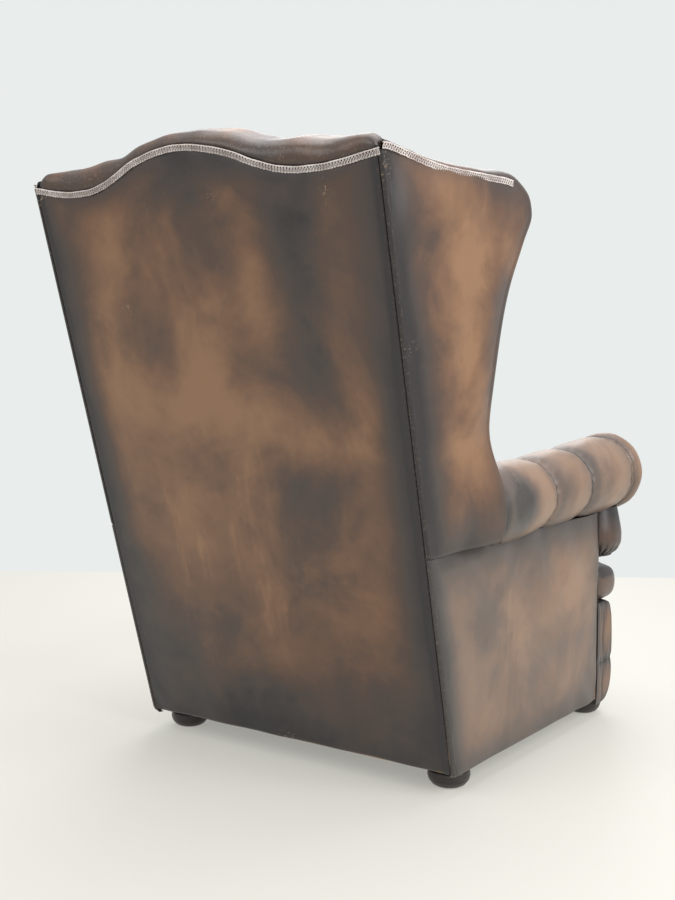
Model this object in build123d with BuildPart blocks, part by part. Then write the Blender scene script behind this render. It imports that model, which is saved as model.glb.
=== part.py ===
from build123d import *
import os
from math import cos, radians, sin, tan

# Buttoned wing armchair with a loose T-shaped seat cushion.
# Millimetres, +Z up, the front faces -Y, the sitter's left is +X.
# The origin lies on the floor under the middle of the chair.

# Overall size
overall_width = 827
overall_depth = 993
overall_height = 1110

# Shared thicknesses and clearances
clearance = 0.3
panel = 3
board = 28
webbing = 2
strap_width = 50
arm_strap_width = 40
trim_thickness = 2.5
trim_width = 11
overrun = 60

# Feet and base frame
foot_height = 40
foot_diameter = 76
foot_seat_diameter = 56
foot_tread_diameter = 50
foot_side_inset = 48
rear_foot_inset = 61
front_foot_inset = 45
bolt_diameter = 8
bolt_length = 60
block_height = 60
block_size = 70
base_rail_height = 100
seat_slope = 3
dust_cover_thickness = 1
dust_cover_inset = 12
dust_cover_cut_sides = 8

# Outside back, a flat raked panel
upholstery_bottom = 38
back_rake = radians(14.8)
back_foot_half_width = 346
back_corner_half_width = 366
back_corner_height = 1040
trim_dip_height = 1026
trim_hump_height = 1079
post_width = 45
crest_rail_bottom = 935
crest_rail_drop = 12
lower_rail_bottom = 120

# Inside back, rolled over the crest rail
crest_hump = 38
crest_shoulder_drop = 24
back_pad_top = 125
back_pad_foot = 190
back_pad_break_height = 930
crest_front_round = 60
crest_rear_round = 38

# Sides and arms
side_reach = 563
side_spread = 18
side_bottom = 35
side_top_rear = 410
side_top_front = 422
rail_thickness = 25
seat_half_width = 245
arm_top_height = 552
arm_swell_height = 430
arm_swell_angle = 20
arm_pad_round = 45
arm_rail_bottom = 450
arm_rail_height = 38
arm_rail_width = 35
arm_rail_inset = 15
arm_post_thickness = 25
arm_post_width = 42
arm_post_head = 50

# Arm roll, turned about a nearly level axis and pinched at its pleats
roll_rear_reach = 80
roll_axis_inset = 16
roll_axis_height = 481
roll_axis_rise = 2
roll_axis_turn = 0.4
roll_rear_radius = 66
roll_pleat_reaches = (205, 355, 550)
roll_pleat_radii = (63, 66, 73)
roll_channel_swell = 8
roll_nose_shoulder = 44

# Arm front, the stuffed neck under the roll
neck_bottom = 343
neck_width = 130
neck_shift = 18
neck_depth = 112
neck_round = 26
arm_facing = 8

# Wings
wing_bottom = 418
wing_flare = radians(6.4)
wing_waist_reach = 66
wing_tip_reach = 150
wing_top = 1043
wing_corner_rise = 16
wing_depth = 85
wing_board = 22
wing_edge_inset = 10
wing_frame_inset = 26
wing_round = 20

# Front border
border_face_reach = 645
border_bottom = 26
border_top = 238
border_pinch_height = 114
border_pinch_depth = 16
border_tuck = 40
border_corner = 22
front_rail_thickness = 32

# Seat
deck_thickness = 30
deck_corner = 18
cushion_edge = 72
cushion_front_sag = 22
cushion_side_sag = 18
cushion_draw = 5
cushion_nose_reach = 692
cushion_ear_corner = 30
cushion_edge_round = 26
cushion_side_gap = 2
cushion_cover = 12
ear_gap = 8

# Covered buttons and their dimples
button_diameter = 18
button_thickness = 6
button_facets = 8
dimple_width = 46
dimple_height = 60
dimple_depth = 15
dimple_taper = 42
button_pitch = 104
button_row_pitch = 92
button_rows = 6
button_columns = 4
first_row_height = 440
border_button_count = 7
border_button_pitch = 96
back_strap_count = 6
back_strap_height = 300
back_strap_pitch = 110
long_strap_count = 6
long_strap_pitch = 72
cross_strap_count = 5
cross_strap_start = 130
cross_strap_pitch = 95
arm_button_reaches = (55, 205, 355, 458)
arm_button_height = 400
wing_button_rows = 4
wing_button_pitch = 104
wing_button_height = 640
wing_button_setback = 20
wing_button_shift = 30

# Rise of the middle hump above the shoulders of the crest, as shares of the
# half width and of the hump, from the middle outwards.
crest_shares = (
    (0, 0), (0.12, 0.06), (0.25, 0.26), (0.38, 0.63), (0.55, 0.79), (0.74, 0.97), (0.93, 1),
)
# The trim line, as shares of the half width and of its rise above the dip.
trim_shares = ((0, 1), (0.21, 0.81), (0.3, 0.64), (0.4, 0.36), (0.55, 0.06), (0.71, 0))
# The wing's front edge from the arm up, as shares of its height and of its reach.
wing_front_shares = (
    (0.0, 0.07), (0.12, 0.0), (0.28, 0.05), (0.48, 0.24), (0.63, 0.45), (0.76, 0.74),
    (0.87, 1.0), (0.95, 0.86), (1.0, 0.46),
)
# The wing's top edge from the tip back, as shares of its length and of its rise.
wing_top_shares = ((0.2, 0.0), (0.62, 0.1), (0.82, 0.65), (0.95, 1.0))

# The neck from its bottom up to the roll, as shares of its height, width and depth.
neck_shares = ((0, 0.7, 0.56), (0.22, 1, 1), (0.55, 1, 0.9), (1, 0.9, 0.8))

# Planes and lines that the pieces share
back_rise = (trim_hump_height - upholstery_bottom) / cos(back_rake)
back_foot_y = overall_depth / 2 - back_rise * sin(back_rake) - trim_thickness * cos(back_rake)
back_face = Plane(
    origin=(0, back_foot_y, upholstery_bottom),
    x_dir=(1, 0, 0),
    z_dir=(0, -cos(back_rake), sin(back_rake)),
)
back_frame_front = panel + board
back_pad_rear = back_frame_front + webbing + clearance
side_turn = side_spread / side_reach
side_face = Plane(
    origin=(back_foot_half_width, back_foot_y, 0),
    x_dir=(side_turn, -1, 0),
    z_dir=(-1, -side_turn, 0),
)
front_y = -overall_depth / 2
side_front_y = back_foot_y - side_reach
border_face_y = back_foot_y - border_face_reach
front_foot_y = border_face_y + front_foot_inset
rear_foot_y = back_foot_y - rear_foot_inset
front_rail_rear_y = front_foot_y + front_rail_thickness / 2
front_rail_front_y = front_foot_y - front_rail_thickness / 2
deck_rise = border_top - deck_thickness - 2 * webbing
deck_plane = Plane(
    origin=(0, front_rail_front_y, deck_rise),
    x_dir=(1, 0, 0),
    z_dir=(0, sin(radians(seat_slope)), cos(radians(seat_slope))),
)
deck_top = 2 * webbing + deck_thickness
lean = (back_corner_half_width - back_foot_half_width) / (back_corner_height - upholstery_bottom)


def rise(height):
    """Distance up the raked back plane to a height above the floor."""
    return (height - upholstery_bottom) / cos(back_rake)


def back_point(depth, up):
    """Y and Z of a point at a depth in front of the back plane and a distance up it."""
    return (
        back_foot_y + up * sin(back_rake) - depth * cos(back_rake),
        upholstery_bottom + up * cos(back_rake) + depth * sin(back_rake),
    )


def half_width(height):
    """Half width of the outside back at a height."""
    return back_foot_half_width + (height - upholstery_bottom) * lean


def side_x(y):
    """Distance of the side plane from the middle at a Y."""
    return back_foot_half_width + (back_foot_y - y) * side_turn


def corner(height):
    """Point of the rear corner seam at a height."""
    return Vector(
        half_width(height),
        back_foot_y + (height - upholstery_bottom) * tan(back_rake),
        height,
    )


wing_forward = Vector(sin(wing_flare), -cos(wing_flare), 0)
wing_up = (corner(back_corner_height) - corner(wing_bottom)).normalized()
wing_face = Plane(
    origin=corner(wing_bottom), x_dir=wing_forward, z_dir=wing_forward.cross(wing_up)
)


def on_wing(y, z):
    """Plane coordinates of the point of the wing plane with this Y and Z."""
    normal = wing_face.z_dir
    start = wing_face.origin
    x = start.X - (normal.Y * (y - start.Y) + normal.Z * (z - start.Z)) / normal.X
    spot = wing_face.to_local_coords(Vector(x, y, z))
    return (spot.X, spot.Y)


def write(piece, name):
    """Labels a finished piece and writes it to its own file."""
    piece.label = name
    export_step(piece, f"parts/{name}.step")


def write_pair(piece, name):
    """Writes a piece of the sitter's left side and its mirror image."""
    write(piece, f"{name}_left")
    write(mirror(piece, about=Plane.YZ), f"{name}_right")


# Trim line and crest of the back
def trim_line_points(drop=0):
    span = trim_hump_height - trim_dip_height
    right = [
        (back_corner_half_width * x, rise(trim_dip_height + span * up) - drop)
        for x, up in trim_shares
    ]
    right.append((back_corner_half_width, rise(back_corner_height) - drop))
    return [(-x, up) for x, up in reversed(right[1:])] + right


def back_outline(drop=0, inset=0, bottom=upholstery_bottom):
    """Closed outline of the back up to its trim line."""
    points = trim_line_points(drop)
    points[0] = (points[0][0] + inset, points[0][1])
    points[-1] = (points[-1][0] - inset, points[-1][1])
    low = half_width(bottom) - inset
    with BuildSketch() as outline:
        with BuildLine():
            Spline(*points)
            Polyline(points[-1], (low, rise(bottom)), (-low, rise(bottom)), points[0])
        make_face()
    return outline.sketch


# Outside back
with BuildPart() as outside_back:
    with BuildSketch(back_face):
        add(back_outline())
    extrude(amount=panel)
write(outside_back.part, "outside_back")

# Braid along the top of the outside back
with BuildPart() as gimp_back:
    with BuildSketch(back_face):
        with BuildLine():
            upper = Spline(*trim_line_points())
            lower = Spline(*trim_line_points(trim_width))
            Line(upper @ 0, lower @ 0)
            Line(upper @ 1, lower @ 1)
        make_face()
    extrude(amount=-trim_thickness)
write(gimp_back.part, "gimp_back")

# Rear posts, one in each corner of the back frame
with BuildPart() as rear_post:
    with BuildSketch(back_face.offset(panel)):
        with BuildLine():
            Polyline(
                (half_width(foot_height) - panel, rise(foot_height)),
                (half_width(crest_rail_bottom) - panel, rise(crest_rail_bottom)),
                (half_width(crest_rail_bottom) - panel - post_width, rise(crest_rail_bottom)),
                (half_width(foot_height) - panel - post_width, rise(foot_height)),
                close=True,
            )
        make_face()
    extrude(amount=board)
    split(bisect_by=Plane.XY.offset(foot_height), keep=Keep.TOP)
write_pair(rear_post.part, "rear_post")

# Crest rail, bandsawn to the line of the trim
with BuildPart() as crest_rail:
    with BuildSketch(back_face.offset(panel)):
        add(back_outline(drop=crest_rail_drop, inset=panel, bottom=crest_rail_bottom))
    extrude(amount=board)
write(crest_rail.part, "crest_rail")


# Rails between the posts
def cross_rail(bottom, top):
    """A board between the rear posts from one height to another."""
    with BuildPart() as rail:
        with BuildSketch(back_face.offset(panel)):
            with BuildLine():
                low = half_width(bottom) - panel - post_width
                high = half_width(top) - panel - post_width
                Polyline(
                    (-low, rise(bottom)), (low, rise(bottom)),
                    (high, rise(top)), (-high, rise(top)), close=True,
                )
            make_face()
        extrude(amount=board)
        split(bisect_by=Plane.XY.offset(foot_height), keep=Keep.TOP)
        split(bisect_by=deck_plane, keep=Keep.BOTTOM)
    return rail.part


write(cross_rail(foot_height, lower_rail_bottom), "rear_bottom_rail")
write(cross_rail(lower_rail_bottom, lower_rail_bottom + base_rail_height), "rear_seat_rail")

# Side rails, cut along the slope of the seat
with BuildPart() as side_rail:
    with BuildSketch(side_face.offset(panel + clearance)):
        with Locations((side_reach / 2, foot_height)):
            Rectangle(2 * side_reach, border_top, align=(Align.CENTER, Align.MIN))
    extrude(amount=rail_thickness)
    split(bisect_by=back_face.offset(back_frame_front), keep=Keep.TOP)
    split(bisect_by=Plane.XZ.offset(-front_rail_rear_y), keep=Keep.BOTTOM)
    split(bisect_by=deck_plane, keep=Keep.BOTTOM)
write_pair(side_rail.part, "side_rail")


def foot_centres():
    """Plan positions of the four feet."""
    front_x = side_x(front_foot_y) - foot_side_inset
    rear_x = side_x(rear_foot_y) - foot_side_inset
    return {
        "front_left": (front_x, front_foot_y),
        "front_right": (-front_x, front_foot_y),
        "rear_left": (rear_x, rear_foot_y),
        "rear_right": (-rear_x, rear_foot_y),
    }


# Bores of the foot bolts
with BuildPart() as bolt_bores:
    with BuildSketch(Plane.XY.offset(foot_height - bolt_length / 2)):
        with Locations(*foot_centres().values()):
            Circle(bolt_diameter / 2 + clearance)
    extrude(amount=bolt_length + clearance)

# Front rail
front_rail_half = side_x(front_foot_y) - panel
with BuildPart() as front_rail:
    with BuildSketch(Plane.XY.offset(foot_height)):
        with Locations((0, front_foot_y)):
            Rectangle(2 * front_rail_half, front_rail_thickness)
    extrude(amount=border_top)
    split(bisect_by=deck_plane, keep=Keep.BOTTOM)
    add(bolt_bores.part, mode=Mode.SUBTRACT)
write(front_rail.part, "front_rail")


def block_corners(front, rear, hand):
    """Plan outline of a corner block beside one side rail."""
    inset = panel + rail_thickness + 2 * clearance
    return (
        (hand * (side_x(front) - inset), front),
        (hand * (side_x(rear) - inset), rear),
        (hand * (side_x(rear) - inset - block_size), rear),
        (hand * (side_x(front) - inset - block_size), front),
    )


# Corner blocks, glued inside the four corners of the base
rear_block_front_y = rear_foot_y - block_size / 2
block_spans = (
    (front_rail_rear_y, front_rail_rear_y + block_size),
    (rear_block_front_y, back_foot_y),
)
with BuildPart() as corner_blocks:
    with BuildSketch(Plane.XY.offset(foot_height)):
        for hand in (1, -1):
            for front, rear in block_spans:
                with BuildLine():
                    Polyline(*block_corners(front, rear, hand), close=True)
                make_face()
    extrude(amount=block_height)
    split(bisect_by=back_face.offset(back_frame_front), keep=Keep.TOP)
    add(bolt_bores.part, mode=Mode.SUBTRACT)
write(corner_blocks.part, "corner_blocks")

# Bun feet, bored for their bolts
with BuildPart() as foot:
    with BuildSketch(Plane.XZ):
        with BuildLine():
            outline = Polyline(
                (foot_seat_diameter / 2, foot_height), (0, foot_height),
                (0, 0), (foot_tread_diameter / 2, 0),
            )
            ThreePointArc(outline @ 1, (foot_diameter / 2, foot_height / 2), outline @ 0)
        make_face()
    revolve(axis=Axis.Z)
    with BuildSketch(Plane.XY.offset(foot_height)):
        Circle(bolt_diameter / 2 + clearance)
    extrude(amount=-bolt_length / 2, mode=Mode.SUBTRACT)
with BuildPart() as bun_feet:
    with Locations(*foot_centres().values()):
        add(foot.part)
write(bun_feet.part, "bun_feet")

# Hanger bolts, half in the feet and half in the blocks and the front rail
with BuildPart() as foot_bolts:
    with BuildSketch(Plane.XY.offset(foot_height - bolt_length / 2 + clearance)):
        with Locations(*foot_centres().values()):
            Circle(bolt_diameter / 2)
    extrude(amount=bolt_length - clearance)
write(foot_bolts.part, "foot_bolts")


# Arm posts, each a board with a round head that shapes the front of the roll
def roll_axis():
    """Start and direction of the roll's axis on the sitter's left."""
    start_y = back_foot_y - roll_rear_reach
    start = Vector(side_x(start_y) - roll_axis_inset, start_y, roll_axis_height)
    course = Vector(
        -tan(radians(roll_axis_turn)), -1, tan(radians(roll_axis_rise))
    ).normalized()
    return start, course


roll_start, roll_course = roll_axis()
roll_plane = Plane(
    origin=roll_start, x_dir=roll_course, z_dir=roll_course.cross(Vector(0, 0, 1))
)
post_front_y = side_front_y
post_rear_y = post_front_y + arm_post_thickness
post_head = roll_start + roll_course * (roll_start.Y - post_front_y)
post_outer_x = side_x(post_rear_y) - panel - rail_thickness - 2 * clearance
with BuildPart() as arm_post:
    with BuildSketch(Plane.XZ.offset(-post_rear_y)):
        with Locations((post_outer_x, foot_height + block_height)):
            Rectangle(
                arm_post_width, post_head.Z - foot_height - block_height,
                align=(Align.MAX, Align.MIN),
            )
        with Locations((post_head.X, post_head.Z)):
            Circle(arm_post_head)
    extrude(amount=arm_post_thickness)
write_pair(arm_post.part, "arm_post")

# Arm rails, from the rear posts to the heads of the arm posts
with BuildPart() as arm_rail:
    with BuildSketch(side_face.offset(arm_rail_inset)):
        with Locations((0, arm_rail_bottom)):
            Rectangle(2 * side_reach, arm_rail_height, align=(Align.CENTER, Align.MIN))
    extrude(amount=arm_rail_width)
    split(bisect_by=back_face.offset(back_frame_front), keep=Keep.TOP)
    split(bisect_by=Plane.XZ.offset(-post_rear_y), keep=Keep.BOTTOM)
write_pair(arm_rail.part, "arm_rail")


# Wing boards and their panels
wing_span = wing_top - arm_top_height


def wing_front_points(inset=0):
    """Front edge of a wing from the arm up, moved back by an inset."""
    points = []
    for up, out in wing_front_shares:
        reach = wing_waist_reach + out * (wing_tip_reach - wing_waist_reach)
        y = back_foot_y - reach + inset
        z = arm_top_height + up * (wing_span - inset)
        points.append(on_wing(y, z))
    return points


def wing_top_points(inset=0):
    """Top edge of a wing from its tip to behind the rear corner."""
    tip_y = back_foot_y - wing_waist_reach
    span = corner(wing_top).Y - tip_y
    return [
        on_wing(tip_y + along * span, wing_top + up * wing_corner_rise - inset)
        for along, up in wing_top_shares
    ]


def wing_outline(inset, bottom, front_reach):
    """Closed outline of a wing in its own plane."""
    low_front_y = back_foot_y - front_reach
    high = wing_top + wing_corner_rise - inset
    with BuildSketch() as outline:
        with BuildLine():
            edge = Spline(
                *wing_front_points(inset), *wing_top_points(inset), on_wing(corner(high).Y, high)
            )
            Polyline(
                edge @ 1, on_wing(corner(bottom).Y, bottom),
                on_wing(low_front_y, bottom),
                on_wing(low_front_y, arm_top_height - inset), edge @ 0,
            )
        make_face()
    return outline.sketch


with BuildPart() as wing_frame:
    with BuildSketch(wing_face.offset(panel)):
        add(wing_outline(
            wing_frame_inset, wing_bottom + trim_width, roll_rear_reach - wing_board / 2,
        ))
    extrude(amount=wing_board)
    split(bisect_by=back_face.offset(back_frame_front), keep=Keep.TOP)
write_pair(wing_frame.part, "wing_frame")
with BuildPart() as outside_wing:
    with BuildSketch(wing_face):
        add(wing_outline(wing_edge_inset, wing_bottom, roll_rear_reach - panel))
    extrude(amount=panel)
    split(bisect_by=back_face.offset(panel), keep=Keep.TOP)
write_pair(outside_wing.part, "outside_wing")
with BuildPart() as gimp_wing:
    with BuildSketch(wing_face):
        add(wing_outline(wing_edge_inset, wing_bottom, roll_rear_reach))
        with BuildLine():
            lower = Spline(
                on_wing(back_foot_y - wing_waist_reach - trim_width, wing_top - wing_edge_inset - trim_width),
                *wing_top_points(wing_edge_inset + trim_width),
                on_wing(
                    corner(wing_top).Y + trim_width,
                    wing_top + wing_corner_rise - wing_edge_inset - trim_width,
                ),
            )
            Polyline(
                lower @ 1, (lower @ 1) + Vector(0, overrun),
                (lower @ 0) + Vector(0, overrun), lower @ 0,
            )
        make_face(mode=Mode.INTERSECT)
    extrude(amount=-trim_thickness)
write_pair(gimp_wing.part, "gimp_wing")

# Webbing of the inside arms, each strap between two of the seat's cross straps
arm_strap_low = foot_height + block_height
with BuildPart() as arm_webbing:
    with BuildSketch(side_face.offset(panel + clearance + rail_thickness + clearance)):
        for place in range(cross_strap_count - 1):
            reach = back_foot_y - front_rail_front_y
            reach -= cross_strap_start + (place + 1 / 2) * cross_strap_pitch
            with Locations((reach, arm_strap_low)):
                Rectangle(
                    arm_strap_width, arm_rail_bottom - arm_strap_low,
                    align=(Align.CENTER, Align.MIN),
                )
    extrude(amount=webbing)
write_pair(arm_webbing.part, "arm_webbing")

# Arm rolls
roll_length = (roll_start.Y - front_y) / -roll_course.Y
roll_shoulder = roll_length - roll_nose_shoulder
roll_nose_radius = overall_width / 2 - (roll_start + roll_course * roll_shoulder).X


def roll_profile(extra=0):
    """Half outline of the roll, grown by an extra, with its channels as shallow arcs."""
    stations = [(0, roll_rear_radius), *zip(roll_pleat_reaches, roll_pleat_radii)]
    with BuildSketch(roll_plane) as outline:
        with BuildLine():
            Polyline((0, 0), (-board, 0), (-board, roll_rear_radius + extra), (0, roll_rear_radius + extra))
            for (start, low), (end, high) in zip(stations, stations[1:]):
                middle = ((start + end) / 2, (low + high) / 2 + roll_channel_swell + extra)
                ThreePointArc((start, low + extra), middle, (end, high + extra))
            reach, radius = stations[-1]
            nose = Spline(
                (reach, radius + extra),
                (roll_shoulder, roll_nose_radius + extra),
                (roll_length + extra, 0),
                tangents=((1, 1), (0, -1)),
            )
            Line(nose @ 1, (0, 0))
        make_face()
    return outline.sketch


roll_line = Axis(roll_start, roll_course)
wing_edge_y = back_foot_y - roll_rear_reach
with BuildPart() as roll_zone:
    add(roll_profile(clearance))
    revolve(axis=roll_line)
    split(bisect_by=Plane.XZ.offset(-wing_edge_y), keep=Keep.TOP)
with BuildPart() as arm_roll:
    add(roll_profile())
    revolve(axis=roll_line)
    split(bisect_by=Plane.XZ.offset(clearance - wing_edge_y), keep=Keep.TOP)
    add(arm_rail.part, mode=Mode.SUBTRACT)
    add(arm_post.part, mode=Mode.SUBTRACT)
    add(arm_webbing.part, mode=Mode.SUBTRACT)
write_pair(arm_roll.part, "arm_roll")

# Outside arms, a leather panel twisted slightly between its rear and front edges
with BuildPart() as outside_arm:
    with BuildSketch(back_face.offset(panel)):
        with BuildLine():
            Polyline(
                (half_width(side_bottom) - panel, rise(side_bottom)),
                (half_width(side_bottom), rise(side_bottom)),
                (half_width(side_top_rear), rise(side_top_rear)),
                (half_width(side_top_rear) - panel, rise(side_top_rear)),
                close=True,
            )
        make_face()
    with BuildSketch(Plane.XZ.offset(-side_front_y)):
        with BuildLine():
            Polyline(
                (side_x(side_front_y) - panel, side_bottom),
                (side_x(side_front_y), side_bottom),
                (side_x(side_front_y), side_top_front),
                (side_x(side_front_y) - panel, side_top_front),
                close=True,
            )
        make_face()
    loft(ruled=True)
    add(roll_zone.part, mode=Mode.SUBTRACT)
write_pair(outside_arm.part, "outside_arm")

def tufts(plane, places):
    """The diamond-shaped cuts and the covered buttons of a tufted face."""
    with BuildPart() as dimples:
        with BuildSketch(plane):
            with Locations(*places):
                Rectangle(dimple_width, dimple_height)
        extrude(amount=-dimple_depth, taper=dimple_taper)
    with BuildPart() as buttons:
        with BuildSketch(plane.offset(-dimple_depth)):
            with Locations(*places):
                RegularPolygon(button_diameter / 2, button_facets)
        extrude(amount=button_thickness)
    return dimples.part, buttons.part


# Inside arms: a pad up to the roll, and a higher one beside the back
pad_outer = panel + rail_thickness + webbing + 3 * clearance
pad_bottom = deck_plane.offset(2 * webbing + clearance)
swell_angle = radians(arm_swell_angle)
swell_top = (
    roll_start.X - roll_rear_radius * cos(swell_angle),
    roll_start.Z + roll_rear_radius * sin(swell_angle),
)
arm_face = Plane(origin=(seat_half_width, 0, 0), x_dir=(0, 1, 0), z_dir=(-1, 0, 0))
arm_places = [
    (roll_start.Y + reach * roll_course.Y, -arm_button_height) for reach in arm_button_reaches
]
arm_dimples, arm_buttons = tufts(arm_face, arm_places)
with BuildPart() as inside_arm:
    with BuildSketch(Plane.XZ.offset(-post_front_y)):
        with BuildLine():
            Polyline(
                (overall_width / 2, deck_rise - overrun),
                (seat_half_width, deck_rise - overrun),
                (seat_half_width, arm_swell_height),
                swell_top,
                (overall_width / 2, swell_top[1]),
                close=True,
            )
        make_face()
    extrude(amount=-2 * side_reach)
    with BuildSketch(Plane.XZ.offset(-wing_edge_y)):
        with BuildLine():
            inner = (seat_half_width, arm_top_height - arm_pad_round)
            crown = (seat_half_width + arm_pad_round, arm_top_height)
            RadiusArc(inner, crown, arm_pad_round)
            Polyline(
                crown, (overall_width / 2, arm_top_height),
                (overall_width / 2, roll_axis_height - roll_rear_radius),
                (seat_half_width, roll_axis_height - roll_rear_radius), inner,
            )
        make_face()
    extrude(amount=-side_reach)
    split(bisect_by=back_face.offset(back_pad_rear), keep=Keep.TOP)
    split(bisect_by=side_face.offset(pad_outer), keep=Keep.TOP)
    split(bisect_by=pad_bottom, keep=Keep.TOP)
    add(roll_zone.part, mode=Mode.SUBTRACT)
    add(arm_rail.part, mode=Mode.SUBTRACT)
    add(arm_post.part, mode=Mode.SUBTRACT)
    add(wing_frame.part, mode=Mode.SUBTRACT)
    add(arm_dimples, mode=Mode.SUBTRACT)
write_pair(inside_arm.part, "inside_arm")
write_pair(arm_buttons, "arm_buttons")

# Arm fronts: a facing over the post, and the stuffed neck that carries the nose
neck_middle = (seat_half_width + side_x(side_front_y)) / 2 + neck_shift
with BuildPart() as arm_front:
    with BuildSketch(Plane.XZ.offset(-post_front_y)):
        with BuildLine():
            Polyline(
                (seat_half_width, border_top), (side_x(side_front_y), border_top),
                (side_x(side_front_y), post_head.Z), (seat_half_width, post_head.Z), close=True,
            )
        make_face()
    extrude(amount=arm_facing)
    add(roll_zone.part, mode=Mode.SUBTRACT)
    for up, wide, deep in neck_shares:
        with BuildSketch(Plane.XY.offset(neck_bottom + up * (post_head.Z - neck_bottom))):
            with Locations((neck_middle, post_front_y - deep * neck_depth / 2)):
                RectangleRounded(wide * neck_width, deep * neck_depth, neck_round)
    loft(ruled=True)
    add(roll_zone.part, mode=Mode.SUBTRACT)
write_pair(arm_front.part, "arm_front")

# Inside wings, wrapped round the edges of the boards
wing_button_face = wing_face.offset(wing_depth)
wing_middle_y = back_foot_y + wing_button_setback
wing_places = [
    on_wing(wing_middle_y - (row % 2) * wing_button_shift, wing_button_height + row * wing_button_pitch)
    for row in range(wing_button_rows)
]
wing_dimples, wing_buttons = tufts(wing_button_face, wing_places)
with BuildPart() as inside_wing:
    with BuildSketch(wing_face):
        add(wing_outline(0, wing_bottom, roll_rear_reach))
    extrude(amount=wing_depth)
    fillet(inside_wing.edges().filter_by(GeomType.BSPLINE), wing_round)
    split(bisect_by=Plane.XY.offset(arm_top_height + clearance), keep=Keep.TOP)
    split(bisect_by=back_face.offset(back_pad_rear), keep=Keep.TOP)
    add(outside_wing.part, mode=Mode.SUBTRACT)
    add(wing_frame.part, mode=Mode.SUBTRACT)
    add(wing_dimples, mode=Mode.SUBTRACT)
write_pair(inside_wing.part, "inside_wing")
write_pair(wing_buttons, "wing_buttons")

# Inside back, lofted across the chair and rolled over the crest rail
crest_lift = (
    crest_front_round * (1 - cos(back_rake))
    + (back_pad_top - crest_front_round) * sin(back_rake)
)
break_rise = rise(back_pad_break_height)
pad_low = rise(deck_rise - overrun)
pad_slope = (back_pad_foot - back_pad_top) / (break_rise - rise(deck_rise))
pad_low_depth = back_pad_top + pad_slope * (break_rise - pad_low)
break_point = Vector(0, *back_point(back_pad_top, break_rise))
low_point = Vector(0, *back_point(pad_low_depth, pad_low))
pad_front = Plane(
    origin=break_point,
    x_dir=(1, 0, 0),
    z_dir=(0, low_point.Z - break_point.Z, break_point.Y - low_point.Y),
)
quarter = sin(radians(45))


def crest_section(x, drop):
    """Side section of the inside back where its crest has dropped this far."""
    top = (overall_height - drop - crest_lift - upholstery_bottom) / cos(back_rake)
    rear, front = crest_rear_round, crest_front_round
    rear_arc = (
        (0, top - rear),
        (rear * (1 - quarter), top - rear * (1 - quarter)),
        (rear, top),
    )
    front_arc = (
        (back_pad_top - front, top),
        (back_pad_top - front * (1 - quarter), top - front * (1 - quarter)),
        (back_pad_top, top - front),
    )
    with BuildSketch(Plane.YZ.offset(x)) as section:
        with BuildLine():
            ThreePointArc(*(back_point(*spot) for spot in rear_arc))
            ThreePointArc(*(back_point(*spot) for spot in front_arc))
            Line(back_point(*rear_arc[2]), back_point(*front_arc[0]))
            Polyline(
                back_point(*front_arc[2]), back_point(back_pad_top, break_rise),
                back_point(pad_low_depth, pad_low), back_point(0, pad_low),
                back_point(*rear_arc[0]),
            )
        make_face()
    return section.sketch


crest_stations = [(x * back_corner_half_width, drop * crest_hump) for x, drop in crest_shares]
crest_stations.append((back_corner_half_width - panel, crest_hump + crest_shoulder_drop))
crest_stations = [(-x, drop) for x, drop in reversed(crest_stations[1:])] + crest_stations

with BuildPart() as back_pocket:
    with BuildSketch(back_face.offset(-overrun)):
        add(back_outline(bottom=side_bottom - overrun))
        with Locations((0, rise(trim_dip_height))):
            Rectangle(overall_width, overall_height, align=(Align.CENTER, Align.MAX))
    extrude(amount=overrun + back_pad_rear)
with BuildPart() as side_zone:
    with BuildSketch(wing_face.offset(wing_depth + clearance)):
        Rectangle(2 * overall_height, 2 * overall_height)
    extrude(amount=-overall_width / 2)
    with BuildSketch(Plane.YZ.offset(seat_half_width - clearance)):
        with Locations((0, arm_top_height + clearance)):
            Rectangle(2 * overall_depth, overall_height, align=(Align.CENTER, Align.MAX))
    extrude(amount=overall_width / 2)
    split(bisect_by=back_face.offset(back_pad_rear - clearance), keep=Keep.TOP)
    mirror(about=Plane.YZ)


def staggered(columns, rows, pitch, row_pitch):
    """Places of a diamond pattern whose odd rows hold one button more."""
    places = []
    for row in range(rows):
        count = columns + row % 2
        places += [((column - (count - 1) / 2) * pitch, row * row_pitch) for column in range(count)]
    return places


first_row = (first_row_height - break_point.Z) / pad_front.y_dir.Z
back_button_places = [
    (x, first_row + up) for x, up in staggered(button_columns, button_rows, button_pitch, button_row_pitch)
]
back_dimples, back_buttons = tufts(pad_front, back_button_places)
with BuildPart() as inside_back:
    loft([crest_section(x, drop) for x, drop in crest_stations])
    add(back_pocket.part, mode=Mode.SUBTRACT)
    add(side_zone.part, mode=Mode.SUBTRACT)
    for wing in (outside_wing.part, wing_frame.part):
        add((wing, mirror(wing, about=Plane.YZ, mode=Mode.PRIVATE)), mode=Mode.SUBTRACT)
    split(bisect_by=pad_bottom, keep=Keep.TOP)
    add(back_dimples, mode=Mode.SUBTRACT)
write(inside_back.part, "inside_back")
write(back_buttons, "back_buttons")

# Webbing of the back and the seat
with BuildPart() as back_webbing:
    with BuildSketch(back_face.offset(back_frame_front)):
        for place in range(back_strap_count):
            height = back_strap_height + place * back_strap_pitch
            with Locations((0, rise(height))):
                Rectangle(2 * (half_width(height) - 2 * panel - wing_board), strap_width)
    extrude(amount=webbing)
write(back_webbing.part, "back_webbing")

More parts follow.
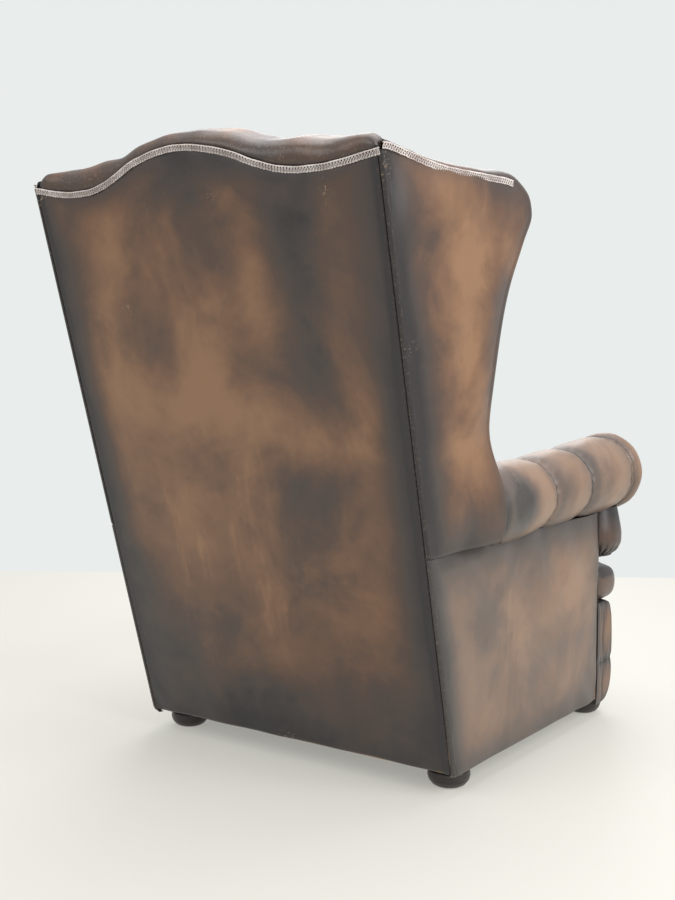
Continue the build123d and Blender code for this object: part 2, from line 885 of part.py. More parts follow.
with BuildPart() as seat_webbing_long:
    with BuildSketch(deck_plane):
        with GridLocations(long_strap_pitch, 0, long_strap_count, 1):
            Rectangle(strap_width, side_reach + overrun * 2, align=(Align.CENTER, Align.MIN))
    extrude(amount=webbing)
    split(bisect_by=back_face.offset(back_frame_front - strap_width / 2), keep=Keep.TOP)
write(seat_webbing_long.part, "seat_webbing_long")

with BuildPart() as seat_webbing_cross:
    with BuildSketch(deck_plane.offset(webbing)):
        for place in range(cross_strap_count):
            with Locations((0, cross_strap_start + place * cross_strap_pitch)):
                Rectangle(overall_width, strap_width)
    extrude(amount=webbing)
    split(bisect_by=side_face.offset(2 * panel), keep=Keep.TOP)
    mirror(about=Plane.YZ, mode=Mode.INTERSECT)
write(seat_webbing_cross.part, "seat_webbing_cross")


def t_outline(neck_half, ear_half, ear_y, nose_y, rounding):
    """T-shaped plan of the seat, its ears lying in front of the arms."""
    rear_y = back_foot_y
    with BuildSketch() as outline:
        with BuildLine():
            Polyline(
                (neck_half, rear_y), (neck_half, ear_y), (ear_half, ear_y), (ear_half, nose_y),
                (-ear_half, nose_y), (-ear_half, ear_y), (-neck_half, ear_y), (-neck_half, rear_y),
                close=True,
            )
        make_face()
        fillet(outline.vertices().sort_by(Axis.Y)[:2], rounding)
    return outline.sketch


# Deck under the cushion
ear_rear_y = post_front_y - arm_facing - clearance
with BuildPart() as seat_deck:
    with BuildSketch(Plane.XY):
        add(t_outline(
            seat_half_width - clearance, front_rail_half - clearance, ear_rear_y,
            front_rail_front_y, deck_corner,
        ))
    extrude(amount=overall_height)
    split(bisect_by=pad_front.offset(clearance), keep=Keep.TOP)
    split(bisect_by=deck_plane.offset(2 * webbing), keep=Keep.TOP)
    split(bisect_by=deck_plane.offset(deck_top), keep=Keep.BOTTOM)
write(seat_deck.part, "seat_deck")

# Front border, wrapped round the front rail and pinched along its button row
border_half = side_x(front_foot_y)
upper_middle = (border_top + border_pinch_height) / 2
lower_middle = (border_bottom + border_pinch_height) / 2
pinch_y = border_face_y + border_pinch_depth
border_rear_y = side_front_y - clearance
with BuildPart() as front_border:
    with BuildSketch(Plane.YZ):
        with BuildLine():
            top = (front_rail_front_y, border_top)
            pinch = (pinch_y, border_pinch_height)
            tuck = (border_face_y + border_tuck, border_bottom)
            ThreePointArc(top, (border_face_y, upper_middle), pinch)
            ThreePointArc(pinch, (border_face_y, lower_middle), tuck)
            Polyline(
                tuck, (front_rail_rear_y - panel, border_bottom),
                (border_rear_y, foot_height - panel), (border_rear_y, border_top), top,
            )
        make_face()
    extrude(amount=border_half, both=True)
    with BuildSketch(Plane.XY) as border_plan:
        with Locations((0, border_face_y)):
            Rectangle(2 * border_half, 2 * block_size, align=(Align.CENTER, Align.MIN))
        fillet(border_plan.vertices().sort_by(Axis.Y)[:2], border_corner)
    extrude(amount=overall_height, mode=Mode.INTERSECT)
    with BuildSketch(Plane.XY.offset(foot_height)):
        with Locations((0, front_rail_front_y)):
            Rectangle(2 * front_rail_half, 2 * block_size, align=(Align.CENTER, Align.MIN))
    extrude(amount=overall_height, mode=Mode.SUBTRACT)
    with BuildSketch(Plane.XY):
        with Locations((0, front_rail_rear_y - panel)):
            Rectangle(
                2 * (front_rail_half - dust_cover_inset / 2), block_size,
                align=(Align.CENTER, Align.MIN),
            )
    extrude(amount=foot_height, mode=Mode.SUBTRACT)
    with BuildSketch(Plane.XY):
        with Locations(foot_centres()["front_left"], foot_centres()["front_right"]):
            Circle(foot_diameter / 2 + panel)
    extrude(amount=foot_height, mode=Mode.SUBTRACT)
    with BuildSketch(Plane.XZ.offset(-border_face_y)):
        with Locations((0, border_pinch_height)):
            with GridLocations(border_button_pitch, 0, border_button_count, 1):
                RegularPolygon(button_diameter / 2 + clearance, button_facets)
    extrude(amount=-border_pinch_depth - button_thickness / 2, mode=Mode.SUBTRACT)
write(front_border.part, "front_border")

with BuildPart() as border_buttons:
    with BuildSketch(Plane.XZ.offset(-pinch_y - button_thickness / 2)):
        with Locations((0, border_pinch_height)):
            with GridLocations(border_button_pitch, 0, border_button_count, 1):
                RegularPolygon(button_diameter / 2, button_facets)
    extrude(amount=button_thickness)
write(border_buttons.part, "border_buttons")

# Dust cover, tacked under the rails round the feet
with BuildPart() as dust_cover:
    with BuildSketch(Plane.XY.offset(foot_height)):
        cover_front_y = front_rail_rear_y - panel + clearance
        cover_rear_y = back_foot_y - dust_cover_inset
        with BuildLine():
            Polyline(
                (side_x(cover_front_y) - dust_cover_inset, cover_front_y),
                (side_x(cover_rear_y) - dust_cover_inset, cover_rear_y),
                (dust_cover_inset - side_x(cover_rear_y), cover_rear_y),
                (dust_cover_inset - side_x(cover_front_y), cover_front_y),
                close=True,
            )
        make_face()
        with Locations(*foot_centres().values()):
            RegularPolygon(
                foot_seat_diameter / 2 + panel, dust_cover_cut_sides,
                major_radius=False, mode=Mode.SUBTRACT,
            )
    extrude(amount=-dust_cover_thickness)
write(dust_cover.part, "dust_cover")


# Seat cushion, a leather cover over a foam core
cushion_base = deck_plane.offset(deck_top + clearance)
cushion_depth = cushion_nose_reach - back_pad_foot
barrel_radius = (cushion_depth / 2) ** 2 / (2 * cushion_front_sag)


def cushion_form(inset, rounded=False):
    """The crowned T-shaped cushion, drawn in on every side by an inset."""
    base = cushion_base.offset(inset)
    ear_half = front_rail_half - cushion_side_gap - inset
    neck_half = seat_half_width - cushion_side_gap - inset
    ear_y = base.to_local_coords(Vector(0, ear_rear_y - ear_gap - inset, deck_rise)).Y
    nose_y = base.to_local_coords(Vector(0, back_foot_y - cushion_nose_reach + inset, deck_rise)).Y
    edge = cushion_edge - 2 * inset
    thickness = edge + cushion_front_sag + cushion_side_sag
    rim = barrel_radius - inset
    middle = Plane(
        origin=base.from_local_coords(Vector(0, nose_y + cushion_depth / 2, thickness - rim)),
        x_dir=base.x_dir,
        z_dir=-base.y_dir,
    )
    with BuildPart() as form:
        with BuildSketch(base):
            with BuildLine():
                right = Polyline(
                    (neck_half, cushion_depth + overrun), (neck_half, ear_y),
                    (ear_half, ear_y), (ear_half, nose_y),
                )
                left = Polyline(
                    (-ear_half, nose_y), (-ear_half, ear_y),
                    (-neck_half, ear_y), (-neck_half, cushion_depth + overrun),
                )
                ThreePointArc(right @ 1, (0, nose_y + cushion_draw), left @ 0)
                Line(left @ 1, right @ 0)
            make_face()
        extrude(amount=thickness)
        split(bisect_by=pad_front.offset(cushion_side_gap + inset), keep=Keep.TOP)
        if rounded:
            upright = form.edges().filter_by(Axis(base.origin, base.z_dir))
            fillet(upright.sort_by(Axis.Y)[:2], cushion_ear_corner)
        with BuildSketch(middle):
            with BuildLine():
                crown = ThreePointArc(
                    (-front_rail_half, rim - cushion_side_sag), (0, rim),
                    (front_rail_half, rim - cushion_side_sag),
                )
                Polyline(crown @ 1, (front_rail_half, 0), (-front_rail_half, 0), crown @ 0)
            make_face()
        revolve(axis=Axis(middle.origin, middle.x_dir), mode=Mode.INTERSECT)
        if rounded:
            ends = form.faces().sort_by(Axis(base.origin, base.z_dir))
            fillet(ends[0].edges() + ends[-1].edges(), cushion_edge_round)
    return form.part


cushion_core_inset = cushion_cover + clearance
with BuildPart() as cushion_shell:
    add(cushion_form(0, rounded=True))
    add(cushion_form(cushion_cover), mode=Mode.SUBTRACT)
write(cushion_shell.part, "cushion_cover")
write(cushion_form(cushion_core_inset), "cushion_core")
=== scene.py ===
from functools import reduce
from math import cos, pi, radians, sin, tan

import bmesh
import bpy
import numpy as np
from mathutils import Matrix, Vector


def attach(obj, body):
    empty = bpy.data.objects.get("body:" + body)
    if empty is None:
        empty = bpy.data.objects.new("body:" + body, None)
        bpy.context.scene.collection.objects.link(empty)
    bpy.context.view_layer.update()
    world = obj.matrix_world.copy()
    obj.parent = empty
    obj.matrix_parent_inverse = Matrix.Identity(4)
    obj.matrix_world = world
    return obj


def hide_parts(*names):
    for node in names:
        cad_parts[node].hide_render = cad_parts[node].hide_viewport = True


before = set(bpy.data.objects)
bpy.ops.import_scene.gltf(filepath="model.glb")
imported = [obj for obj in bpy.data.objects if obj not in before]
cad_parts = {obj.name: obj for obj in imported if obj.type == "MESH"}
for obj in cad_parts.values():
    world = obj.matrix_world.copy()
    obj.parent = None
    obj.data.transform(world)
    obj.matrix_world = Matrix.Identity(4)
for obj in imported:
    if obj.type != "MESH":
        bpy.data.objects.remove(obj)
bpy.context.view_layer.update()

print("Wing armchair: the packed frame is in")

# The chair's own lines, in metres, as its CAD source gives them
chair = {
    "rake": radians(14.8), "backY": 0.21903, "bottom": 0.038,
    "footHalf": 0.346, "cornerHalf": 0.366, "cornerHeight": 1.040,
    "trimDip": 1.026, "trimHump": 1.079, "height": 1.110, "humpShift": 0.022,
    "sideTurn": 18 / 563, "sideFront": -0.34397, "wingEdge": 0.13903,
    "seatHalf": 0.245, "deckSlope": radians(3), "deckFront": -0.39697, "deckHeight": 0.204,
    "padFootY": 0.079, "padFootZ": 0.2525, "padLean": 0.3594,
}
sideNames = {1: "left", -1: "right"}


# Small tools for lines, grids and meshes

def ease(amount):
    # Rises from 0 to 1 as 3 t squared less 2 t cubed
    t = np.clip(amount, 0, 1)
    return t * t * (3 - 2 * t)


def bell(distance, width):
    # e to the power of minus the square of distance over width
    return np.exp(-(distance / width) ** 2)


def smoothLine(knots, values, spots):
    # Hermite cubic through the points, with slopes that are the mean of the chords on both sides
    knots, values, spots = (np.asarray(v, float) for v in (knots, values, spots))
    slopes = np.gradient(values, knots, axis=0)
    place = np.clip(np.searchsorted(knots, spots) - 1, 0, len(knots) - 2)
    step = knots[place + 1] - knots[place]
    t = np.clip((spots - knots[place]) / step, 0, 1)
    if values.ndim > 1:
        t, step = t[..., None], step[..., None]
    rising = t * t * (3 - 2 * t)
    return (
        (1 - rising) * values[place] + rising * values[place + 1]
        + t * (1 - t) ** 2 * step * slopes[place] - t * t * (1 - t) * step * slopes[place + 1]
    )


def rollEdge(distance, radius):
    # Drop of an edge rounded as a quarter circle, nothing beyond its radius
    inside = np.clip(radius - distance, 0, radius)
    return radius - np.sqrt(radius ** 2 - inside ** 2)


def denseEnds(count, share=0.5):
    # Even steps from 0 to 1 mixed with cosine steps, which crowd both ends
    even = np.linspace(0, 1, count)
    return (1 - share) * even + share * (1 - np.cos(pi * even)) / 2


def lengthAlong(rows):
    # Sum of the distances from the first point to each
    return np.append(0, np.cumsum(np.linalg.norm(np.diff(rows, axis=0), axis=1)))


def onLine(spots, length, rows):
    # Places on straight lines between the rows, at these lengths along them
    return np.stack([np.interp(spots, length, column) for column in np.transpose(rows)], -1)


def mostOf(*values):
    # The greatest of several fields at each point
    return reduce(np.maximum, values)


def patches(across, up, spots):
    # Sum of soft ellipses, each with a middle, two half sizes and a strength
    total = np.zeros(np.broadcast(across, up).shape)
    for x, z, wide, high, strength in spots:
        total += strength * np.exp(-((across - x) / wide) ** 2 - ((up - z) / high) ** 2)
    return total


def unit(vectors):
    # Each vector over its own length
    return vectors / (np.linalg.norm(vectors, axis=-1, keepdims=True) + 1e-12)


def slopeOf(points, axis, loop=False):
    # Half the step between both neighbours
    if loop:
        return (np.roll(points, -1, axis) - np.roll(points, 1, axis)) / 2
    return np.gradient(points, axis=axis)


def gridPoints(x, y, z):
    # X, Y and Z of a whole grid, each spread over the rows or columns that it lacks
    return np.stack(np.broadcast_arrays(x, y, z), -1)


def gridNormals(points, inner):
    # Cross product of the two grid directions, turned away from the inner point
    normals = unit(np.cross(slopeOf(points, 0), slopeOf(points, 1)))
    return normals if np.sum(normals * (points - inner)) > 0 else -normals


def nearestLine(across, up, lines):
    # Least distance from each point to the straight lines, and how far along its line that is
    best = np.full(np.broadcast(across, up).shape, 9.0)
    for x0, z0, x1, z1 in lines:
        span = (x1 - x0) ** 2 + (z1 - z0) ** 2
        t = np.clip(((across - x0) * (x1 - x0) + (up - z0) * (z1 - z0)) / span, 0, 1)
        best = np.minimum(best, np.hypot(across - x0 - t * (x1 - x0), up - z0 - t * (z1 - z0)))
    return best


def tuftHeight(across, up, buttons, lines, look):
    # Pillows rise from zero at each pleat as one less e to a power, and bells sink the buttons
    crease = nearestLine(across, up, lines)
    pillow = 1 - np.exp(-(crease / look["pillowWidth"]) ** look["pillowPower"])
    sunk = np.zeros(crease.shape)
    for x, z in buttons:
        sunk = np.maximum(sunk, bell(np.hypot(across - x, up - z), look["buttonWidth"]))
    height = look["pillowLift"] * pillow - look["creaseDepth"] - look["buttonDepth"] * sunk
    return height, 1 - pillow, sunk


def setField(mesh, field, values):
    # One number for each point, which the finishes read by its name
    layer = mesh.attributes.new(field, "FLOAT", "POINT")
    layer.data.foreach_set("value", np.ascontiguousarray(values, np.float32).ravel())


def addMesh(name, points, faces, fields=None, sharp=60):
    # Points and faces in one smooth mesh, its doubles merged and its sharp angles (degrees) marked
    mesh = bpy.data.meshes.new(name)
    mesh.from_pydata(points.reshape(-1, 3).tolist(), [], faces.tolist())
    for field, values in (fields or {}).items():
        setField(mesh, field, values)
    work = bmesh.new()
    work.from_mesh(mesh)
    bmesh.ops.remove_doubles(work, verts=work.verts, dist=1e-6)
    work.to_mesh(mesh)
    work.free()
    mesh.polygons.foreach_set("use_smooth", [True] * len(mesh.polygons))
    mesh.set_sharp_from_angle(angle=radians(sharp))
    piece = bpy.data.objects.new(name, mesh)
    bpy.context.scene.collection.objects.link(piece)
    return piece


def gridFaces(rows, columns, loopRows=False, loopColumns=False, turned=False):
    # Each face joins four neighbours, and a loop ends on its own first row or column
    ids = np.arange(rows * columns).reshape(rows, columns)
    if loopRows:
        ids = np.vstack([ids, ids[:1]])
    if loopColumns:
        ids = np.hstack([ids, ids[:, :1]])
    faces = np.stack([ids[:-1, :-1], ids[1:, :-1], ids[1:, 1:], ids[:-1, 1:]], -1).reshape(-1, 4)
    return faces[:, [0, 3, 2, 1]] if turned else faces


def gridPiece(name, points, inner, fields=None, loopRows=False, loopColumns=False, close=True, sharp=60):
    # A grid of quads whose open borders are drawn in to one inner point, so that it is closed
    inner = np.asarray(inner, float)
    fields = {field: np.broadcast_to(v, points.shape[:2]) for field, v in (fields or {}).items()}
    normals = np.cross(slopeOf(points, 0, loopRows), slopeOf(points, 1, loopColumns))
    if np.sum(normals * (points - inner)) < 0:
        points = points[::-1]
        fields = {field: v[::-1] for field, v in fields.items()}
    if close:
        rim = ((0, 0) if loopRows else (1, 1), (0, 0) if loopColumns else (1, 1))
        marked = np.pad(np.zeros(points.shape[:2], bool), rim, constant_values=True)
        points = np.pad(points, (*rim, (0, 0)), mode="edge")
        points[marked] = inner
        fields = {field: np.pad(v, rim, mode="edge") for field, v in fields.items()}
    return addMesh(name, points, gridFaces(*points.shape[:2], loopRows, loopColumns), fields, sharp)


def tubePart(spine, normals, radius, sides):
    # A ring of points round each place of a spine, in the plane of its normal and its cross
    along = unit(slopeOf(spine, 0))
    side = unit(np.cross(along, normals))
    up = np.cross(side, along)
    turn = np.linspace(0, 2 * pi, sides, endpoint=False)
    ring = side[:, None] * np.cos(turn)[:, None] + up[:, None] * np.sin(turn)[:, None]
    return spine[:, None] + ring * radius, gridFaces(len(spine), sides, loopColumns=True, turned=True)


def joinParts(name, parts, sharp=60):
    # Several point and face arrays in one mesh
    points, faces, start = [], [], 0
    for spots, quads in parts:
        points.append(spots.reshape(-1, 3))
        faces.append(quads + start)
        start += len(points[-1])
    return addMesh(name, np.vstack(points), np.vstack(faces), sharp=sharp)


def hideShell(piece):
    # The thickness of the hide, laid inward
    shell = piece.modifiers.new("hide", "SOLIDIFY")
    shell.thickness, shell.offset = 0.0022, -1


def place(piece, body, finish, *nodes, slot=None, fill=None):
    # Puts the finish on a piece, and ties it to its body and its CAD nodes; the slot is not used
    piece.data.materials.clear()
    piece.data.materials.append(finish)
    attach(piece, body)
    if nodes:
        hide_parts(*nodes)
    return piece


# Lines that several pieces share

def riseOf(height):
    # Distance up the slope of the back
    return (height - chair["bottom"]) / cos(chair["rake"])


def halfAt(height):
    # Half the width of the back, which leans out from its foot to its corners
    lean = (chair["cornerHalf"] - chair["footHalf"]) / (chair["cornerHeight"] - chair["bottom"])
    return chair["footHalf"] + (height - chair["bottom"]) * lean


def backSpot(x, rise, out):
    # A place behind the back plane: rise up its slope, then out along its normal
    rake = chair["rake"]
    x, rise, out = np.broadcast_arrays(x, rise, out)
    y = chair["backY"] + rise * sin(rake) + out * cos(rake)
    return np.stack([x, y, chair["bottom"] + rise * cos(rake) - out * sin(rake)], -1)


def cornerAt(height):
    # The rear corner of the left side at a height
    height = np.asarray(height, float)
    y = chair["backY"] + (height - chair["bottom"]) * tan(chair["rake"])
    return np.stack([halfAt(height), y, height], -1)


def sideX(y):
    # The side plane turns out a little toward the front
    return chair["footHalf"] + (chair["backY"] - y) * chair["sideTurn"]


def padFaceY(z):
    # The front of the back pad, as a straight line of its height
    return chair["padFootY"] + (z - chair["padFootZ"]) * chair["padLean"]


def seamWrap(radius):
    # Places behind and in front of the corner line: a quarter circle round it, from deep in the gap
    turn = np.linspace(0, pi / 2, 7)
    behind = np.concatenate([[0.0125, 0.0105, 0.0088, 0.0078, 0.0070], radius * (1 - np.sin(turn))])
    before = np.concatenate([[0.0062, 0.0055, 0.0035, 0.0012, 0.0002], radius * (1 - np.cos(turn))])
    return behind, before


# Painted shade, near black, on the leather wrapped round the rear corner and into the gap beside the outside back;
# wrapWorn gives its wear specks
gapShade = np.concatenate([np.full(5, 1.0), np.full(7, 0.95)])
wrapWorn = np.concatenate([[0, 0, 0, 0.08, 0.2], np.linspace(0.25, 0.03, 7)])
trimShares = np.array([(0, 1), (0.21, 0.81), (0.3, 0.64), (0.4, 0.36), (0.55, 0.06), (0.71, 0), (1, 0.264)])


def offCentre(x):
    # The hump of the crest sits a little to one side, as it does on the chair in the photograph
    return x - chair["humpShift"] * (1 - (x / chair["cornerHalf"]) ** 2)


def trimRise(x):
    # Slope distance of the trim line, as a smooth line through its shares and their mirror image
    shares = np.vstack([trimShares[:0:-1] * (-1, 1), trimShares])
    heights = chair["trimDip"] + (chair["trimHump"] - chair["trimDip"]) * shares[:, 1]
    return smoothLine(shares[:, 0] * chair["cornerHalf"], riseOf(heights), offCentre(x))


# Finishes

class Channel:
    # A socket that takes plain arithmetic and adds the Math nodes for it
    def __init__(self, finish, socket):
        self.finish, self.socket = finish, socket

    def maths(self, operation, first, second):
        return self.finish.add("ShaderNodeMath", {"operation": operation}, {0: first, 1: second})

    def __add__(self, other): return self.maths("ADD", self, other)
    def __radd__(self, other): return self.maths("ADD", other, self)
    def __sub__(self, other): return self.maths("SUBTRACT", self, other)
    def __rsub__(self, other): return self.maths("SUBTRACT", other, self)
    def __mul__(self, other): return self.maths("MULTIPLY", self, other)
    def __rmul__(self, other): return self.maths("MULTIPLY", other, self)

    def clamp(self):
        return self.finish.add("ShaderNodeClamp", {}, {0: self})

    def spread(self, low, high):
        # From 0 at the low value to 1 at the high one, eased at both
        settings = {"interpolation_type": "SMOOTHSTEP"}
        return self.finish.add("ShaderNodeMapRange", settings, {0: self, 1: low, 2: high})


class Finish:
    # One material and its nodes
    def __init__(self, name):
        self.material = bpy.data.materials.new(name)
        self.material.use_nodes = True
        self.tree = self.material.node_tree
        self.tree.nodes.clear()

    def add(self, kind, settings=None, sockets=None, output=0):
        node = self.tree.nodes.new(kind)
        for key, value in (settings or {}).items():
            if key == "stops":
                while len(node.color_ramp.elements) < len(value):
                    node.color_ramp.elements.new(0.5)
                for element, (spot, colour) in zip(node.color_ramp.elements, value):
                    element.position, element.color = spot, (*colour, 1)
            else:
                setattr(node, key, value)
        for key, value in (sockets or {}).items():
            if isinstance(value, Channel):
                self.tree.links.new(value.socket, node.inputs[key])
            else:
                node.inputs[key].default_value = value
        return Channel(self, node.outputs[output])

    def place(self, scale=(1, 1, 1), turn=(0, 0, 0), shift=(0, 0, 0)):
        spots = self.add("ShaderNodeTexCoord", output=3)
        return self.add("ShaderNodeMapping", {}, {0: spots, 1: shift, 2: turn, 3: scale})

    def noise(self, where, scale, detail=3, rough=0.5, bend=0):
        sockets = {"Vector": where, "Scale": scale, "Detail": detail, "Roughness": rough, "Distortion": bend}
        return self.add("ShaderNodeTexNoise", {}, sockets)

    def wave(self, where, way, scale, bend):
        sockets = {"Vector": where, "Scale": scale, "Distortion": bend}
        return self.add("ShaderNodeTexWave", {"bands_direction": way}, sockets)

    def field(self, name):
        return self.add("ShaderNodeAttribute", {"attribute_name": name}, output=2)

    def ramp(self, amount, stops):
        return self.add("ShaderNodeValToRGB", {"stops": stops}, {0: amount})

    def mix(self, amount, first, second):
        first, second = ((*c, 1) if isinstance(c, tuple) else c for c in (first, second))
        return self.add("ShaderNodeMix", {"data_type": "RGBA"}, {0: amount, 6: first, 7: second}, 2)

    def bump(self, height, distance, strength, under=None):
        sockets = {"Height": height, "Distance": distance, "Strength": strength}
        if under:
            sockets["Normal"] = under
        return self.add("ShaderNodeBump", {}, sockets)

    def close(self, colour, rough, normal, more=None):
        sockets = {"Base Color": colour, "Roughness": rough, "Normal": normal, **(more or {})}
        self.out(self.add("ShaderNodeBsdfPrincipled", {}, sockets))
        return self.material

    def out(self, shader):
        node = self.tree.nodes.new("ShaderNodeOutputMaterial")
        self.tree.links.new(shader.socket, node.inputs[0])


leatherLook = {
    "ink": (0.021, 0.018, 0.0185), "umber": (0.050, 0.038, 0.034), "brown": (0.082, 0.049, 0.035),
    "russet": (0.150, 0.078, 0.044), "tan": (0.262, 0.140, 0.072), "pale": (0.44, 0.30, 0.20),
    "sheenGrey": (0.30, 0.265, 0.235),
    "grainScale": 620, "grainHeight": 0.00022, "creaseHeight": 0.0007, "roughness": 0.40,
}


def leather(name, seed, cloudScale, lift=0.0, clouds=1.0, streaks=0.0, rough=0.0, sheenVeil=0.0):
    # Hand-rubbed antique leather: clouds of tan over umber, near black where the field dark is 1, lighter where the
    # field tan is 1, and rubbed to pale leather in specks where the speck field is 1. The dark field holds the darker
    # patina of seams and creases together with painted shade in gaps, recesses and under rolls, and on the arm rolls
    # the speck field also holds painted highlight lines beside the pleats.
    # A veil of pale grey is laid over the leather as painted sheen, standing in for reflected light
    look = leatherLook
    finish = Finish(name)
    where = finish.place(shift=(seed, seed * 0.7, seed * 1.3))
    broad = finish.noise(where, cloudScale, 4, 0.55, 0.5).spread(0.33, 0.67)
    middle = finish.noise(where, cloudScale * 3.7, 5, 0.6, 0.3)
    small = finish.noise(where, 95, 4, 0.65)
    dark = finish.field("dark")
    tone = broad * (0.42 * clouds) + middle * 0.36 + small * 0.12 + (lift - 0.03)
    tone = tone + finish.field("tan") * 0.62
    if streaks:
        lines = finish.noise(finish.place(scale=(34, 34, 1.6)), 1.0, 3, 0.6).spread(0.52, 0.8)
        tone = tone + lines * finish.field("streak") * streaks
    ragged = (dark * (0.72 + middle * 0.5)).clamp()
    tone = (tone * (1 - ragged * 0.85) - ragged * 0.16).clamp()
    colour = finish.ramp(tone, [
        (0.0, look["ink"]), (0.17, look["umber"]), (0.40, look["brown"]), (0.62, look["russet"]),
        (0.95, look["tan"]),
    ])
    # Painted sheen: the grey veil, thinner where the leather is dark
    colour = finish.mix((broad * (0.4 * sheenVeil) + 0.8 * sheenVeil) * (1 - dark.clamp() * 0.6), colour, look["sheenGrey"])
    # Pale specks: wear on most of the leather, and on the arm rolls painted highlight lines beside the pleats
    specks = finish.noise(where, 240, 3, 0.7).spread(0.56, 0.66) * finish.field("worn")
    scratched = finish.place(scale=(60, 60, 9), turn=(0.3, 0.5, 0.2))
    scuffs = finish.noise(scratched, 3.0, 4, 0.7).spread(0.70, 0.78) * 0.10
    paleMarks = (specks + scuffs).clamp()
    colour = finish.mix(paleMarks, colour, look["pale"])
    cells = {"Vector": where, "Scale": look["grainScale"], "Smoothness": 0.6}
    pebble = finish.add("ShaderNodeTexVoronoi", {"feature": "SMOOTH_F1"}, cells)
    wrinkle = finish.noise(where, 70, 4, 0.6, 0.8)
    surface = finish.bump(wrinkle, look["creaseHeight"], 0.35)
    surface = finish.bump(pebble, look["grainHeight"], 0.45, surface)
    gloss = middle * 0.16 + small * 0.10 + (look["roughness"] + rough - 0.13) + paleMarks * 0.3 + dark * 0.02
    return finish.close(colour, gloss, surface, {"Coat Weight": 0.12, "Coat Roughness": 0.35})


def timber(name, dark, light, rough, coat=0.0):
    # Fine long grain and a few darker pores
    finish = Finish(name)
    along = (6, 6, 60)
    where = finish.place(scale=along)
    grain = finish.noise(where, 4, 5, 0.65, 0.4)
    pores = finish.noise(finish.place(scale=tuple(8 * v for v in along)), 6, 2, 0.5).spread(0.6, 0.75)
    colour = finish.mix(grain.spread(0.3, 0.7), dark, light)
    colour = finish.mix(pores * 0.5, colour, tuple(0.5 * v for v in dark))
    # pale specks of wear
    worn = finish.noise(finish.place(), 60, 3, 0.7).spread(0.64, 0.72) * 0.25
    colour = finish.mix(worn, colour, tuple(1.6 * v for v in light))
    surface = finish.bump(grain, 0.0006, 0.3)
    return finish.close(colour, grain * 0.2 + rough, surface, {"Coat Weight": coat, "Coat Roughness": 0.25})


def cloth(name, warp, weft, pitch, rough=0.9, depth=0.0004):
    # Plain weave: waves along each direction, added with shares 0.4, 0.3 and 0.3
    finish = Finish(name)
    where = finish.place()
    across, up, rise = (finish.wave(where, way, pitch / 6.3, 0.6) for way in "XYZ")
    weave = across * 0.4 + up * 0.3 + rise * 0.3
    slub = finish.noise(finish.place(scale=(40, 4, 40)), 3, 3, 0.6)
    colour = finish.mix(weave, warp, weft)
    colour = finish.mix(slub * 0.4, colour, tuple(0.6 * v for v in warp))
    return finish.close(colour, slub * 0.08 + rough, finish.bump(weave, depth, 0.6))


def steel(name):
    # Drawn steel with fine marks along its length
    finish = Finish(name)
    marks = finish.noise(finish.place(scale=(3, 3, 80)), 30, 4, 0.6)
    colour = finish.mix(marks, (0.36, 0.35, 0.34), (0.52, 0.51, 0.49))
    return finish.close(colour, marks * 0.2 + 0.28, finish.bump(marks, 0.0001, 0.3), {"Metallic": 1.0})


def foamFinish(name):
    # Open cells, yellowed unevenly
    finish = Finish(name)
    cells = finish.add("ShaderNodeTexVoronoi", {}, {"Vector": finish.place(), "Scale": 700})
    tint = finish.noise(finish.place(), 12, 3)
    colour = finish.mix(tint, (0.62, 0.52, 0.30), (0.72, 0.63, 0.40))
    return finish.close(colour, cells * 0.1 + 0.85, finish.bump(cells, 0.0005, 0.6))


def braidFinish(name):
    # Twisted threads of faded mauve-brown, with painted shade in the hollows between them
    finish = Finish(name)
    where = finish.place()
    thread = finish.wave(where, "DIAGONAL", 420, 1.5)
    fade = finish.noise(where, 26, 4, 0.6)
    colour = finish.mix(fade.spread(0.3, 0.7), (0.62, 0.53, 0.50), (0.90, 0.83, 0.79))
    # Painted shade: darker bands along the thread wave
    colour = finish.mix(thread * 0.30, colour, (0.22, 0.17, 0.16))
    return finish.close(colour, thread * 0.1 + 0.72, finish.bump(thread, 0.0004, 0.7))


# Painted light: the side and roll leather are raised in tone, and the side, roll and seat leather take the grey veil
# of painted sheen
leathers = {
    "backLeather": {"seed": 0.3, "cloudScale": 4.6, "streaks": 0.28},
    "wingLeather": {"seed": 1.7, "cloudScale": 5.5, "lift": 0.02},
    "sideLeather": {
        "seed": 3.1, "cloudScale": 6, "lift": 0.13, "clouds": 0.8, "streaks": 0.3, "rough": 0.05, "sheenVeil": 0.22,
    },
    "rollLeather": {"seed": 4.2, "cloudScale": 9, "lift": 0.28, "clouds": 0.7, "rough": 0.06, "sheenVeil": 0.26},
    "padLeather": {"seed": 5.6, "cloudScale": 7, "lift": 0.05, "clouds": 0.8},
    "seatLeather": {"seed": 6.4, "cloudScale": 4.5, "lift": 0.08, "sheenVeil": 0.12},
}
finishes = {name: leather(name, **look) for name, look in leathers.items()}
finishes.update({
    "beech": timber("beech", (0.33, 0.19, 0.10), (0.50, 0.33, 0.19), 0.55),
    "darkTimber": timber("darkTimber", (0.012, 0.008, 0.007), (0.030, 0.019, 0.015), 0.34, coat=0.25),
    "jute": cloth("jute", (0.36, 0.26, 0.15), (0.50, 0.39, 0.25), 1500),
    "cambric": cloth("cambric", (0.010, 0.010, 0.011), (0.022, 0.022, 0.024), 2600, 0.92, 0.0002),
    "hessian": cloth("hessian", (0.020, 0.017, 0.016), (0.045, 0.040, 0.036), 1900, 0.92),
    "boltSteel": steel("boltSteel"), "foam": foamFinish("foam"), "braid": braidFinish("braid"),
})
print("Finishes made:", len(finishes))


# Outside back: one flat panel of leather, pulled over its board

